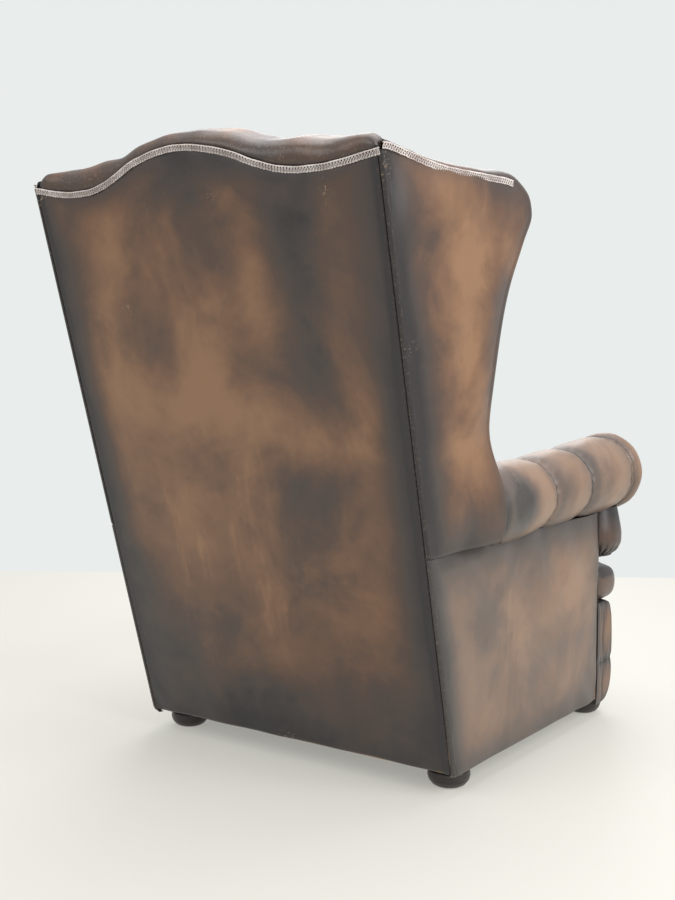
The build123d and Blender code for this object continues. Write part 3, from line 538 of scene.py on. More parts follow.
outsideBack = {
    "columns": 181, "rows": 211, "crown": 0.0055, "gap": 0.0085, "trimHalf": 0.36,
    "edgeRound": 0.0042, "bottomRound": 0.009, "cornerDroop": 0.003,
    "tan": [
        (-0.101, 0.879, 0.042, 0.12, 0.75), (0.093, 0.91, 0.07, 0.09, 0.5), (0.066, 0.668, 0.15, 0.055, 0.85),
        (-0.139, 0.623, 0.11, 0.05, 0.5), (-0.281, 0.50, 0.045, 0.20, 0.5), (0.238, 0.737, 0.08, 0.10, 0.55),
        (0.222, 0.93, 0.05, 0.12, 0.4), (0.02, 0.787, 0.11, 0.09, 0.55), (0.285, 0.571, 0.05, 0.14, 0.4),
        (-0.25, 0.33, 0.08, 0.14, 0.35), (0.144, 0.448, 0.06, 0.15, 0.35), (-0.027, 0.37, 0.05, 0.16, 0.3),
        (0.318, 0.982, 0.022, 0.05, 0.5), (0.0, 0.51, 0.07, 0.09, 0.4), (-0.228, 0.96, 0.09, 0.09, -0.22),
        (-0.122, 0.535, 0.05, 0.045, -0.35), (-0.21, 0.80, 0.055, 0.13, -0.28), (0.07, 1.03, 0.20, 0.045, -0.15),
        (-0.255, 0.60, 0.07, 0.10, 0.35), (0.12, 0.30, 0.2, 0.06, -0.25), (-0.05, 0.11, 0.3, 0.09, -0.45),
        (0.05, 0.84, 0.035, 0.05, -0.2),
    ],
    "streaks": [(-0.03, 0.40, 0.16, 0.22, 0.8), (0.17, 0.40, 0.10, 0.2, 0.6)],
    # worn places, laid as pale specks
    "worn": [
        (0.186, 0.827, 0.012, 0.008, 0.9), (-0.258, 0.989, 0.006, 0.016, 1.0), (0.002, 0.046, 0.022, 0.010, 1.1),
        (-0.04, 0.997, 0.004, 0.008, 0.8), (0.105, 0.985, 0.004, 0.006, 0.8), (0.345, 1.02, 0.01, 0.012, 0.7),
    ],
}


def makeOutsideBack():
    # Across by the sine of an even turn, up from the bottom edge to the trim line
    look = outsideBack
    across = np.sin(np.linspace(-pi / 2, pi / 2, look["columns"]))[:, None]
    up = denseEnds(look["rows"], share=0.6)[None]
    low = riseOf(chair["bottom"]) - look["cornerDroop"] * np.abs(across) ** 8
    rise = low + up * (trimRise(across * look["trimHalf"]) - 0.001 - low)
    height = chair["bottom"] + rise * cos(chair["rake"])
    x = across * (halfAt(height) - look["gap"])
    side = (halfAt(height) - look["gap"]) * (1 - np.abs(across))
    top, foot = trimRise(x) - rise, rise - low
    out = look["crown"] * (1 - across ** 4) * (1 - (2 * up - 1) ** 6)
    out = out - rollEdge(side, look["edgeRound"]) - rollEdge(foot, look["bottomRound"])
    out = out - 0.003 * bell(top, 0.014)
    # slack folds: low waves of sine that fade from the foot, the trim and the sides
    out = out + 0.0009 * np.sin(x * 46 + 2 * np.sin(height * 5)) * bell(foot, 0.22)
    out = out + 0.0007 * np.sin(x * 71 + 1.3) * bell(top, 0.09)
    out = out + 0.0012 * np.sin(height * 9 + x * 6) * (1 - across ** 2)
    out = out + 0.0016 * np.sin(side * 90 + height * 60) * bell(side, 0.03) * bell(foot, 0.05)
    points = backSpot(x, rise, out)
    # Darker toward the corner seams, under the trim and at the foot: partly patina of the seams and partly painted
    # shade
    dark = mostOf(bell(side, 0.030), 0.75 * bell(side, 0.060), 0.62 * bell(top, 0.034), 0.45 * bell(foot, 0.05))
    seam = np.maximum(bell(side, 0.004), bell(foot, 0.005))
    fields = {
        "dark": dark, "tan": patches(x, height, look["tan"]), "streak": patches(x, height, look["streaks"]),
        "worn": np.clip(patches(x, height, look["worn"]) + 0.16 * seam, 0, 1),
    }
    piece = gridPiece("outsideBack", points, (0, chair["backY"] - 0.3, 0.5), fields, close=False)
    hideShell(piece)
    return place(piece, "chair", finishes["backLeather"], "outside_back", slot="leather")


# Wings: outer face from the corner seam, round the stuffed edge, and over the buttoned inner face

wing = {
    "rows": 221, "outerColumns": 60, "noseColumns": 36, "innerColumns": 80, "flare": radians(6.4), "bottom": 0.418,
    "frontBottom": 0.430, "waistReach": 0.066, "tipReach": 0.157, "armTop": 0.552, "top": 1.043, "seamTop": 1.036,
    "cornerRise": 0.016, "halfDepth": 0.0425, "frontNose": 0.030, "topNose": 0.0135, "lowNose": 0.009, "wrap": 0.006,
    "crown": 0.008, "bulge": 0.029, "bottomRound": 0.010, "cornerWear": 1.018, "scuff": 0.749,
    "buttonHeight": 0.640, "buttonPitch": 0.104, "setback": 0.020, "shift": 0.030, "buttonRows": 4,
    "pillowLift": 0.013, "creaseDepth": 0.006, "buttonDepth": 0.011, "pillowWidth": 0.021, "pillowPower": 1.25,
    "buttonWidth": 0.019,
    "front": [
        (0.0, 0.07), (0.12, 0.0), (0.28, 0.05), (0.48, 0.24), (0.63, 0.45), (0.76, 0.74), (0.87, 1.0),
        (0.95, 0.86), (1.0, 0.46),
    ],
    "over": [(0.2, 0.0), (0.62, 0.1), (0.82, 0.65), (0.95, 1.0)],
    "tan": [
        (0.258, 0.941, 0.05, 0.07, 0.65), (0.262, 0.80, 0.07, 0.10, 0.85), (0.25, 0.62, 0.075, 0.11, 0.55),
        (0.17, 0.93, 0.05, 0.08, 0.55), (0.335, 0.995, 0.03, 0.03, 0.3), (0.18, 0.49, 0.05, 0.04, -0.3),
        (0.11, 0.97, 0.02, 0.04, 0.25),
    ],
}


def wingBase():
    # Corner of the wing plane, its forward and upward directions, and its inward normal
    origin, high = cornerAt(wing["bottom"]), cornerAt(chair["cornerHeight"])
    forward = np.array([sin(wing["flare"]), -cos(wing["flare"]), 0])
    inward = unit(np.cross(forward, high - origin))
    return origin, forward, np.cross(inward, forward), inward


def wingOutline(spots):
    # Y and Z along the wing's edge, from the arm up the front, over the tip and back to the corner
    back = chair["backY"]
    front = chair["wingEdge"]
    rows = [(front, wing["frontBottom"]), (front, 0.47), (front + 0.002, 0.515)]
    for up, out in wing["front"]:
        reach = wing["waistReach"] + out * (wing["tipReach"] - wing["waistReach"])
        rows.append((back - reach, wing["armTop"] + up * (wing["top"] - wing["armTop"])))
    start = back - wing["waistReach"]
    for along, up in wing["over"]:
        rows.append((start + along * (cornerAt(wing["top"])[1] - start), wing["top"] + up * wing["cornerRise"]))
    high = wing["top"] + wing["cornerRise"]
    rows.append((cornerAt(high)[1], high))
    length = lengthAlong(rows)
    return smoothLine(length / length[-1], rows, spots)


def flatWing(y, z):
    # Forward and upward places in the wing plane of a point with this Y and Z
    origin, forward, upward, _ = wingBase()
    up = (z - origin[2]) / upward[2]
    return (y - origin[1] - up * upward[1]) / forward[1], up


def onWing(forth, up, depth):
    # Back from flat places and a depth to X, Y and Z
    origin, forward, upward, inward = wingBase()
    return origin + forth[..., None] * forward + up[..., None] * upward + depth[..., None] * inward


def wingRows():
    # Shares of the edge, its flat places, its outward directions, and the reach of its round there
    spots = denseEnds(wing["rows"], share=0.4)
    edge = wingOutline(spots)
    forth, up = flatWing(edge[:, 0], edge[:, 1])
    along = unit(np.stack([np.gradient(forth), np.gradient(up)], -1))
    outward = np.stack([along[:, 1], -along[:, 0]], -1)
    nose = wing["frontNose"] + (wing["topNose"] - wing["frontNose"]) * ease((spots - 0.60) / 0.14)
    nose = wing["lowNose"] + (nose - wing["lowNose"]) * ease((edge[:, 1] - 0.535) / 0.10)
    return spots, np.stack([forth, up], -1), outward, nose


def wingButtons():
    # One column, whose rows step back and forth
    places = []
    for row in range(wing["buttonRows"]):
        y = chair["backY"] + wing["setback"] - (row % 2) * wing["shift"]
        places.append(flatWing(y, wing["buttonHeight"] + row * wing["buttonPitch"]))
    return places


def makeWing(side):
    # Straight lines from the seam to the edge, half an ellipse round it, and lines back inside
    spots, edge, outward, nose = wingRows()
    _, forward, _, inward = wingBase()
    half, name = wing["halfDepth"], sideNames[side]
    seamHeight = wing["bottom"] + (wing["seamTop"] - wing["bottom"]) * spots
    seam = np.stack(flatWing(cornerAt(seamHeight)[:, 1], seamHeight), -1)
    seam = seam + (wing["wrap"] + 0.0006, 0)
    turnIn = edge - outward * nose[:, None]
    turnIn[:, 0] = np.maximum(turnIn[:, 0], seam[:, 0] + 0.0012)
    # outer face, stuffed edge, and inner face back to where the inside back starts
    share = denseEnds(wing["outerColumns"], share=0.35)
    outer = seam[:, None] + share[:, None] * (turnIn - seam)[:, None]
    turn = np.linspace(0, pi, wing["noseColumns"] + 2)[1:-1]
    rounded = turnIn[:, None] + (outward * nose[:, None])[:, None] * (np.sin(turn) ** 0.8)[:, None]
    join = np.stack(flatWing(padFaceY(seamHeight) + 0.012, seamHeight), -1)
    back = np.linspace(0, 1, wing["innerColumns"])
    inner = turnIn[:, None] + back[:, None] * (join - turnIn)[:, None]
    flat = np.concatenate([outer, rounded, inner], 1)
    spans = (share, turn, back)
    columns = lambda *parts: np.concatenate([np.broadcast_to(v, span.shape) for v, span in zip(parts, spans)])
    depth = columns(0.0, half * (1 - np.cos(turn)), 2 * half)
    # the rear end of the top leans forward and down under the crest
    sink = (ease((spots - 0.88) / 0.12)[:, None] * ease(depth / half))[..., None]
    flat = flat + sink * (0.050, -0.022)
    points = onWing(flat[..., 0], flat[..., 1], depth)
    # soft form of the outer face: crown, low bulge, rolled bottom, slack ripples, nip under the braid
    faceShare = columns(share, 1.0, 1.0)
    outside = columns(1.0, (1 + np.cos(turn)) / 2, 0.0)
    inside = 1 - outside
    y, z = points[..., 1], points[..., 2]
    crown = wing["crown"] * (1 - (2 * faceShare - 1) ** 4) * outside
    crown = crown * ease(spots / 0.12)[:, None] * (1 - ease((spots - 0.8) / 0.2))[:, None]
    swell = wing["bulge"] * bell(y - 0.125, 0.085) * bell(z - 0.475, 0.085) * ease(faceShare * 3) * outside
    foot = (z - (wing["bottom"] + (wing["frontBottom"] - wing["bottom"]) * faceShare)) * outside + inside
    foot = np.clip(foot, 0, 1)
    rolled = rollEdge(foot, wing["bottomRound"]) * outside
    ripple = 0.0012 * np.sin(z * 33 + y * 20) * ease(faceShare * 4) + 0.0007 * np.sin(y * 75 + z * 14)
    ripple = ripple * outside
    topSpan = np.linalg.norm(turnIn - seam, axis=1)[:, None] * (1 - faceShare)
    top = ease((spots - 0.62) / 0.06)[:, None]
    nip = 0.0022 * bell(topSpan, 0.004) * top * outside
    # buttoned inner face: pleats run from each button to the edge, to the join and to its neighbours
    buttons = wingButtons()
    lines = [(*low, *high) for low, high in zip(buttons, buttons[1:])]
    for number, (forth, up) in enumerate(buttons):
        lines += [(forth, up, forth + 0.16, up + 0.018 + 0.012 * number), (forth, up, forth - 0.17, up - 0.01)]
    lines.append((*buttons[-1], buttons[-1][0] + 0.02, buttons[-1][1] + 0.2))
    lines.append((*buttons[0], buttons[0][0] + 0.01, buttons[0][1] - 0.2))
    height, crease, sunk = tuftHeight(flat[..., 0], flat[..., 1], buttons, lines, wing)
    edgeFade = columns(0.0, ease((turn - 0.9) / 1.6), 1.0)
    joinFade = columns(1.0, 1.0, 1 - ease((back - 0.8) / 0.2))
    puff = height * edgeFade * joinFade + 0.006 * inside * joinFade - 0.012 * (1 - joinFade)
    points = points + (puff - crown - swell + rolled + nip - ripple)[..., None] * inward
    # wrap round the rear corner, then into the gap beside the outside back
    behind, before = seamWrap(wing["wrap"])
    wrap = cornerAt(seamHeight)[:, None] + behind[:, None] * np.array([-1.0, 0, 0]) + before[:, None] * forward
    rounded = rollEdge(np.clip(seamHeight - wing["bottom"], 0, 1), wing["bottomRound"])
    wrap = wrap + rounded[:, None, None] * inward
    points = np.concatenate([wrap, points], 1) * (side, 1, 1)
    beside = lambda fill, v: np.concatenate([
        np.broadcast_to(fill, wrap.shape[:2]), np.broadcast_to(v, flat.shape[:2]),
    ], 1)
    fromSeam = np.linalg.norm(flat - seam[:, None], axis=-1) + wing["wrap"]
    edgeSpan = np.linalg.norm(flat - edge[:, None], axis=-1)
    # Painted shade along the rolled bottom edge, just inside the stuffed edge, in the pleats and buttons and where
    # the inner face tucks in to the back; toward the corner seam and the front edge the dark is partly patina and
    # partly painted shade
    dark = mostOf(
        bell(fromSeam, 0.042) * outside, 0.42 * bell(edgeSpan, 0.034) * (outside > 0.02),
        0.6 * bell(foot, 0.045) * outside, 0.45 * bell(edgeSpan - nose[:, None] - 0.016, 0.014) * inside,
        0.9 * crease * edgeFade, 0.85 * (1 - joinFade), sunk * inside,
    )
    faded = patches(y, z, wing["tan"]) * outside
    faded = faded + 0.30 * inside * (1 - crease) + 0.18 * bell(edgeSpan, 0.022)
    # wear specks along the rolled bottom edge and near the top edge
    worn = np.maximum(0.35 * bell(foot, 0.004) * outside, 0.16 * bell(edgeSpan, 0.030) * top)
    # rubbed through at the upper corner, and scuffed lower down on one wing
    reach = beside(before, fromSeam)
    paleMarks = 1.2 * bell(seamHeight - wing["cornerWear"], 0.018)[:, None] * bell(reach - 0.008, 0.010)
    if side < 0:
        paleMarks = paleMarks + 1.1 * bell(seamHeight - wing["scuff"], 0.008)[:, None] * bell(reach - 0.012, 0.012)
    fields = {
        "dark": beside(gapShade, dark), "tan": beside(0.0, faded),
        "worn": np.clip(beside(wrapWorn, worn) + paleMarks, 0, 1),
    }
    piece = gridPiece(f"wing_{name}", points, (side * 0.33, 0.24, 0.75), fields, sharp=80)
    nodes = (f"outside_wing_{name}", f"inside_wing_{name}")
    return place(piece, "chair", finishes["wingLeather"], *nodes, slot="leather", fill=0.7)


makeOutsideBack()
for side in sideNames:
    makeWing(side)
print("Outside back and wings made")


# Outside arms: slack leather from the corner seam to the front edge

outsideArm = {
    "rows": 121, "columns": 110, "wrap": 0.006, "crown": 0.006, "bottom": 0.035, "rise": 0.39, "top": 0.427,
    "bottomRound": 0.010, "frontRound": 0.007, "turnedIn": (0.006, 0.012, 0.02),
    "tan": [
        (-0.10, 0.28, 0.12, 0.06, 0.5), (-0.20, 0.30, 0.08, 0.10, 0.45), (0.02, 0.24, 0.05, 0.10, 0.3),
        (-0.13, 0.12, 0.12, 0.05, 0.3), (0.10, 0.12, 0.08, 0.06, 0.2),
    ],
    "streaks": [(-0.05, 0.25, 0.25, 0.18, 0.8)],
}


def makeOutsideArm(side):
    # Level rows from the seam forward along the side plane, folds as leaning waves that fade down
    look, name = outsideArm, sideNames[side]
    up = denseEnds(look["rows"], share=0.5)[:, None]
    share = denseEnds(look["columns"], share=0.3)[None]
    rear = chair["backY"] + (look["bottom"] + look["rise"] * up - chair["bottom"]) * tan(chair["rake"])
    start = rear - look["wrap"] - 0.0006
    y = start + share * (chair["sideFront"] - start)
    behind = ease((y - chair["wingEdge"] + 0.004) / 0.01)
    highest = look["top"] + behind * (0.0065 - 0.013 * np.clip((y - chair["wingEdge"]) / 0.18, 0, 1))
    z = look["bottom"] + (highest - look["bottom"]) * up
    foot, top, front, fromSeam = z - look["bottom"], highest - z, y - chair["sideFront"], rear - y
    out = look["crown"] * (1 - (2 * share - 1) ** 4) * (1 - (2 * up - 1) ** 4)
    lean = y * 0.8 - z * 0.35
    out = out + 0.0022 * np.sin(lean * 62 + 1.5 * np.sin(z * 9)) * bell(top, 0.16) * (1 - bell(fromSeam, 0.03))
    out = out + 0.0015 * np.sin((y * 0.5 + z) * 44 + 2) * bell(foot, 0.12) * bell(fromSeam - 0.06, 0.09)
    out = out + 0.0016 * np.sin((y - z * 0.9) * 70) * bell(foot, 0.07) * bell(front - 0.02, 0.12)
    # tucked under the wing, and rounded at the foot and the front
    out = out - (0.0015 + 0.0045 * ease((fromSeam - 0.03) / 0.06)) * ease(1 - top / 0.03) * behind
    out = out - rollEdge(foot, look["bottomRound"]) - rollEdge(front, look["frontRound"])
    x = halfAt(z) + (rear - y) / (rear - chair["sideFront"]) * (sideX(chair["sideFront"]) - halfAt(z)) + out
    points = gridPoints(x, y, z)
    back, before = seamWrap(look["wrap"])
    heights = np.broadcast_to(z[:, :1], (look["rows"], len(back)))
    wrap = cornerAt(heights) + gridPoints(-back - rollEdge(foot[:, :1], look["bottomRound"]), -before, 0.0)
    inward = points[:, -1:] + np.array(look["turnedIn"])[None, :, None] * np.array([-1.0, 0.0, 0])
    points = np.concatenate([wrap, points, inward], 1)
    beside = lambda fill, v, end: np.concatenate([
        np.broadcast_to(fill, wrap.shape[:2]), np.broadcast_to(v, z.shape), np.full(inward.shape[:2], end),
    ], 1)
    # Painted shade along the top under the wing and the roll, and on the turned-in strip at the front; toward the
    # corner seam, the foot and the front edge the dark is partly patina and partly painted shade
    dark = mostOf(bell(fromSeam, 0.035), 0.75 * bell(top, 0.045), 0.45 * bell(foot, 0.04), 0.5 * bell(front, 0.02))
    # wear specks along the foot and the front edge
    worn = beside(wrapWorn, 0.30 * bell(foot, 0.004) + 0.22 * bell(front, 0.004), 0.0)
    # rubbed through at the lower rear corner
    reach = np.r_[before, fromSeam[0], np.full(len(look["turnedIn"]), 9)][None]
    fields = {
        "dark": beside(gapShade, dark, 0.8), "tan": beside(0.0, patches(y, z, look["tan"]), 0.0),
        "streak": beside(0.0, patches(y, z, look["streaks"]), 0.0),
        "worn": np.clip(worn + 0.9 * bell(reach, 0.014) * bell(z[:, :1] - 0.04, 0.008), 0, 1),
    }
    piece = gridPiece(f"outsideArm_{name}", points * (side, 1, 1), (0, -0.05, 0.25), fields, close=False)
    hideShell(piece)
    return place(piece, "chair", finishes["sideLeather"], f"outside_arm_{name}", slot="leather")


# Arm rolls: channels between deep pleats, and a gathered scroll nose

armRoll = {
    "axisStart": (0.33262, 0.13903, 0.481), "rise": radians(2), "turn": radians(0.4), "length": 0.6361, "tail": 0.048,
    "rearRadius": 0.066, "shoulder": 0.044, "nose": 0.0775, "swell": 0.0058, "gathers": 17, "columns": 132,
    "pleats": [
        {"at": 0.205, "radius": 0.065, "depth": 0.0034, "dark": 0.8, "width": 0.0035, "beside": 0.35, "lit": 1.0},
        {"at": 0.355, "radius": 0.068, "depth": 0.0062, "dark": 1.0, "width": 0.0060, "beside": 0.5, "lit": 0.35},
        {"at": 0.550, "radius": 0.074, "depth": 0.0028, "dark": 0.7, "width": 0.0030, "beside": 0.25, "lit": 1.0},
    ],
    "second": 0.562, "leanAt": (0.08, 0.205, 0.355, 0.550, 0.590), "lean": (0, 0.002, 0.013, 0.015, 0),
}


def rollFrame():
    # Start of the roll's axis, its course forward, and the two directions across it
    start = np.array(armRoll["axisStart"])
    course = unit(np.array([-tan(armRoll["turn"]), -1, tan(armRoll["rise"])]))
    across = unit(np.cross(course, (0, 0, 1)))
    return start, course, across, np.cross(across, course)


def makeArmRoll(side):
    # Radius along the axis: arcs between the pleats less narrow creases, then a dome closed at its tip
    look, name = armRoll, sideNames[side]
    pleats = [pleat["at"] for pleat in look["pleats"]]
    around = np.linspace(0, 2 * pi, look["columns"], endpoint=False)[:, None]
    shoulder = look["length"] - look["shoulder"]
    near = [spot + np.linspace(-0.011, 0.020, 36) for spot in pleats]
    along = np.unique(np.round(np.concatenate([np.linspace(-look["tail"], shoulder, 110), *near]), 5))
    along = along[along <= shoulder]
    reach = np.concatenate([along, shoulder + look["shoulder"] * np.sin(np.linspace(0, pi / 2, 44))[1:]])[None]
    # angle from the outward side, positive upward; the pleats lean forward there
    turn = (2 * pi - around) % (2 * pi) - pi
    lean = np.interp(reach, look["leanAt"], look["lean"]) * (1 + np.cos(turn)) / 2
    lean = lean + 0.0025 * np.sin(around * 2 + reach * 9) * ease(reach / 0.1) * ease((0.59 - reach) / 0.03)
    stations = np.array([
        (-look["tail"], look["rearRadius"] - 0.018), (0.012, look["rearRadius"] - 0.002), (0.05, look["rearRadius"]),
        *((pleat["at"], pleat["radius"]) for pleat in look["pleats"]), (shoulder, look["nose"]),
    ])
    radius = np.interp(reach, stations[:, 0], stations[:, 1])
    channels = list(zip([-0.01, *pleats], pleats))
    for first, last in channels:
        share = np.clip((reach - first) / (last - first), 0, 1)
        radius = radius + look["swell"] * (1 - np.abs(2 * share - 1) ** 3.2) * (share > 0) * (share < 1)
    dome = np.clip((reach - shoulder) / look["shoulder"], 0, 1)
    radius = radius * np.sqrt(np.clip(1 - dome ** 2.4, 0, 1)) + 0.004 * bell(reach - 0.585, 0.022)
    # Painted light at each pleat: a dark line in the crease, painted shade just in front of it, and a painted
    # highlight (lit) just behind it
    dark = lit = np.zeros(np.broadcast(reach, around).shape)
    for pleat in look["pleats"]:
        past = reach - pleat["at"]
        radius = radius - pleat["depth"] * np.exp(-(np.abs(past) / 0.0030) ** 1.1) - 0.0016 * bell(past, 0.016)
        dark = mostOf(dark, pleat["dark"] * bell(past, pleat["width"]), pleat["beside"] * bell(past - 0.016, 0.016))
        lit = np.maximum(lit, pleat["lit"] * bell(past + 0.0060, 0.0032))
    # a second crease in front of the last pleat, with a painted dark line in it and a painted highlight just behind
    # it
    past = reach - look["second"]
    radius = radius - 0.0026 * np.exp(-(np.abs(past) / 0.0032) ** 1.1)
    dark = np.maximum(dark, 0.60 * bell(past, 0.0030))
    lit = np.maximum(lit, bell(past + 0.0055, 0.0030))
    # a short tuck beside the wing, on the upper outside, with a painted highlight along it, painted shade on the roll
    # beside the wing, and painted shade at the rear end where the roll meets the wing
    upper = bell(turn - 0.75, 0.42)
    past = reach - (0.062 + 0.03 * (turn - 0.75))
    radius = radius - 0.006 * np.exp(-np.abs(past) / 0.004) * upper + 0.003 * bell(past + 0.016, 0.010) * upper
    shade = 1.35 * bell(reach - 0.062, 0.050) * bell(turn - 0.10, 0.85)
    dark = mostOf(dark, 0.95 * bell(reach - 0.004, 0.022), shade)
    lit = np.maximum(lit, bell(past - 0.004, 0.003) * upper)
    # fine gathers beside the pleats and on the face of the scroll
    gap = reduce(np.minimum, [np.abs(reach - spot) for spot in pleats])
    radius = radius + 0.0006 * np.sin(around * 23 + reach * 90) * bell(gap, 0.022)
    radius = radius + 0.0005 * np.sin(around * 9 + reach * 60) * np.sin(reach * 25)
    folds = ease((dome - 0.50) / 0.22) * (1 - ease((dome - 0.93) / 0.07))
    pinch = np.abs(np.sin(around * look["gathers"] / 2 + 0.25 * np.sin(around * 3))) ** 0.7
    radius = radius * (1 - 0.030 * folds * (1 - pinch))
    centre, course, across, upward = rollFrame()
    ring = np.cos(around)[..., None] * across + np.sin(around)[..., None] * upward
    push = (0.0035 * folds * (pinch - 0.6) - 0.007 * bell(radius, 0.014) * (dome > 0.5))[..., None] * course
    points = centre + (reach + lean)[..., None] * course + radius[..., None] * ring + push
    # Painted shade in the hollows of the gathers, in the eye of the scroll and on the underside of the roll
    below = ease((-np.sin(around) - 0.55) / 0.4)
    eye = 0.8 * bell(radius, 0.016) * (dome > 0.5)
    dark = mostOf(dark, 0.85 * folds * (1 - pinch) ** 1.5, eye, 0.5 * below)
    # faded along the middle of each channel, on the outward side and on the nose
    faded = sum(0.5 * bell(reach - (0.42 * first + 0.58 * last), 0.20 * (last - first)) for first, last in channels)
    faded = faded * (0.7 + 0.3 * np.cos(turn - 0.2)) + 0.55 * bell(reach - 0.60, 0.03) + 0.25 * folds * pinch
    faded = faded + 0.7 * bell(reach - 0.160, 0.020) * bell(turn - 0.1, 0.8)
    points[:, -1] = points[:, -1].mean(0)
    rear = np.broadcast_to(centre - look["tail"] * course, (len(points), 1, 3))
    points = np.concatenate([rear, points], 1) * (side, 1, 1)
    # The painted highlights (lit) go into the field of pale specks, where they show as pale marks beside the pleats
    fields = {"dark": dark, "tan": faded, "worn": np.clip(0.60 * lit, 0, 1)}
    fields = {field: np.concatenate([v[:, :1], v], 1) for field, v in fields.items()}
    middle = (centre + course * 0.3) * (side, 1, 1)
    piece = gridPiece(f"armRoll_{name}", points, middle, fields, loopRows=True, close=False, sharp=75)
    return place(piece, "chair", finishes["rollLeather"], f"arm_roll_{name}", slot="stuffed_leather", fill=0.85)


# Arm fronts: a plain facing over the post, and the gathered neck under the scroll

armFront = {
    "middle": 0.3228, "rearY": -0.3440, "bottom": 0.327, "top": 0.434, "width": 0.124, "depth": 0.108, "pleats": 19,
    "power": 0.78, "facingLow": 0.232, "facingHeight": 0.256, "facingWidth": 0.118,
    "levels": [
        (0, 0.10, 0.12), (0.02, 0.42, 0.36), (0.10, 0.74, 0.70), (0.25, 0.95, 0.94), (0.45, 1.0, 1.0),
        (0.75, 0.93, 0.92), (1.0, 0.84, 0.84),
    ],
}


def makeArmFront(side):
    # Superellipse rings, with gathers that deepen toward the pinched bottom
    look, name = armFront, sideNames[side]
    around = np.linspace(0, 2 * pi, 133)[:-1][:, None]
    share = denseEnds(52, share=0.6)[None] ** 1.25
    levels = np.array(look["levels"])
    wide = smoothLine(levels[:, 0], levels[:, 1], share) * look["width"] / 2
    deep = smoothLine(levels[:, 0], levels[:, 2], share) * look["depth"] / 2
    gather = np.abs(np.sin(around * look["pleats"] / 2 + 0.4 * np.sin(around * 2))) ** 0.8
    fold = 1 - ease((share - 0.05) / 0.32)
    shrink = 1 - 0.11 * fold * (1 - gather) * ease(share / 0.04)
    c, s = np.cos(around), np.sin(around)
    x = look["middle"] + wide * shrink * np.sign(c) * np.abs(c) ** look["power"]
    y = look["rearY"] - look["depth"] * 0.48 + deep * shrink * np.sign(s) * np.abs(s) ** look["power"]
    z = look["bottom"] + (look["top"] - look["bottom"]) * share + 0.006 * (1 - share) * s
    points = gridPoints(x, y, z)
    cap = np.broadcast_to(points[:, 0].mean(0) + (0, 0, 0.004), (len(points), 1, 3))
    lid = np.broadcast_to(points[:, -1].mean(0), cap.shape)
    points = np.concatenate([cap, points, lid], 1) * (side, 1, 1)
    # Painted shade: the whole neck is darkened where it sits under the scroll, and more in the hollows of the
    # gathers, at the pinched bottom and up under the roll
    dark = np.maximum(0.9 * fold * (1 - gather), 0.8 * bell(share, 0.08)) + 0.3 * bell(1 - share, 0.25)
    fields = {
        "dark": np.clip(dark + 0.50, 0, 1), "tan": 0.5 * bell(share - 0.45, 0.25) * (0.6 + 0.4 * gather),
        "worn": 0.25 * bell(share - 0.06, 0.03) * gather,
    }
    fields = {field: np.pad(v, ((0, 0), (1, 1)), mode="edge") for field, v in fields.items()}
    middle = (look["middle"] * side, -0.39, 0.39)
    neck = gridPiece(f"armNeck_{name}", points, middle, fields, loopRows=True, close=False, sharp=70)
    place(neck, "chair", finishes["padLeather"], f"arm_front_{name}", slot="stuffed_leather", fill=0.8)
    # facing: a thin pillow of leather, folded under at its edges
    across, up = denseEnds(41)[:, None], denseEnds(61)[None]
    z = look["facingLow"] + up * look["facingHeight"]
    inside = chair["seatHalf"] + 0.001 + 0.017 * ease((z - 0.42) / 0.068)
    x = inside + across * (sideX(look["rearY"]) - 0.0015 - inside)
    rim = np.minimum(
        np.minimum(across, 1 - across) * look["facingWidth"], np.minimum(up, 1 - up) * look["facingHeight"]
    )
    y = look["rearY"] - 0.0085 - 0.002 * (1 - (2 * across - 1) ** 2) + rollEdge(rim, 0.006)
    y = y + 0.0008 * np.sin(x * 120 + z * 30)
    # Darker where the edges fold under, partly patina and partly painted shade
    fields = {"dark": 0.8 * bell(rim, 0.018), "tan": 0.3 * (1 - bell(rim, 0.03))}
    middle = (side * 0.3, look["rearY"] + 0.004, 0.33)
    facing = gridPiece(f"armFacing_{name}", gridPoints(x, y, z) * (side, 1, 1), middle, fields)
    return place(facing, "chair", finishes["sideLeather"], f"arm_front_{name}", slot="leather", fill=0.3)


# Inside arms: a buttoned face that swells up to the roll, and a higher pad beside the back

insideArm = {
    "front": -0.3440, "rear": 0.20, "run": 0.31, "buttons": [0.084, -0.066, -0.216, -0.319], "buttonShare": 0.55,
    "knots": (0, 0.55, 0.72, 0.88, 1.0),
    "frontX": (0.245, 0.245, 0.250, 0.263, 0.2735), "frontZ": (0.200, 0.405, 0.450, 0.490, 0.510),
    "rearX": (0.245, 0.245, 0.247, 0.264, 0.300), "rearZ": (0.200, 0.440, 0.505, 0.543, 0.552),
    "pillowLift": 0.013, "creaseDepth": 0.005, "buttonDepth": 0.011, "pillowWidth": 0.024, "pillowPower": 1.2,
    "buttonWidth": 0.019,
}


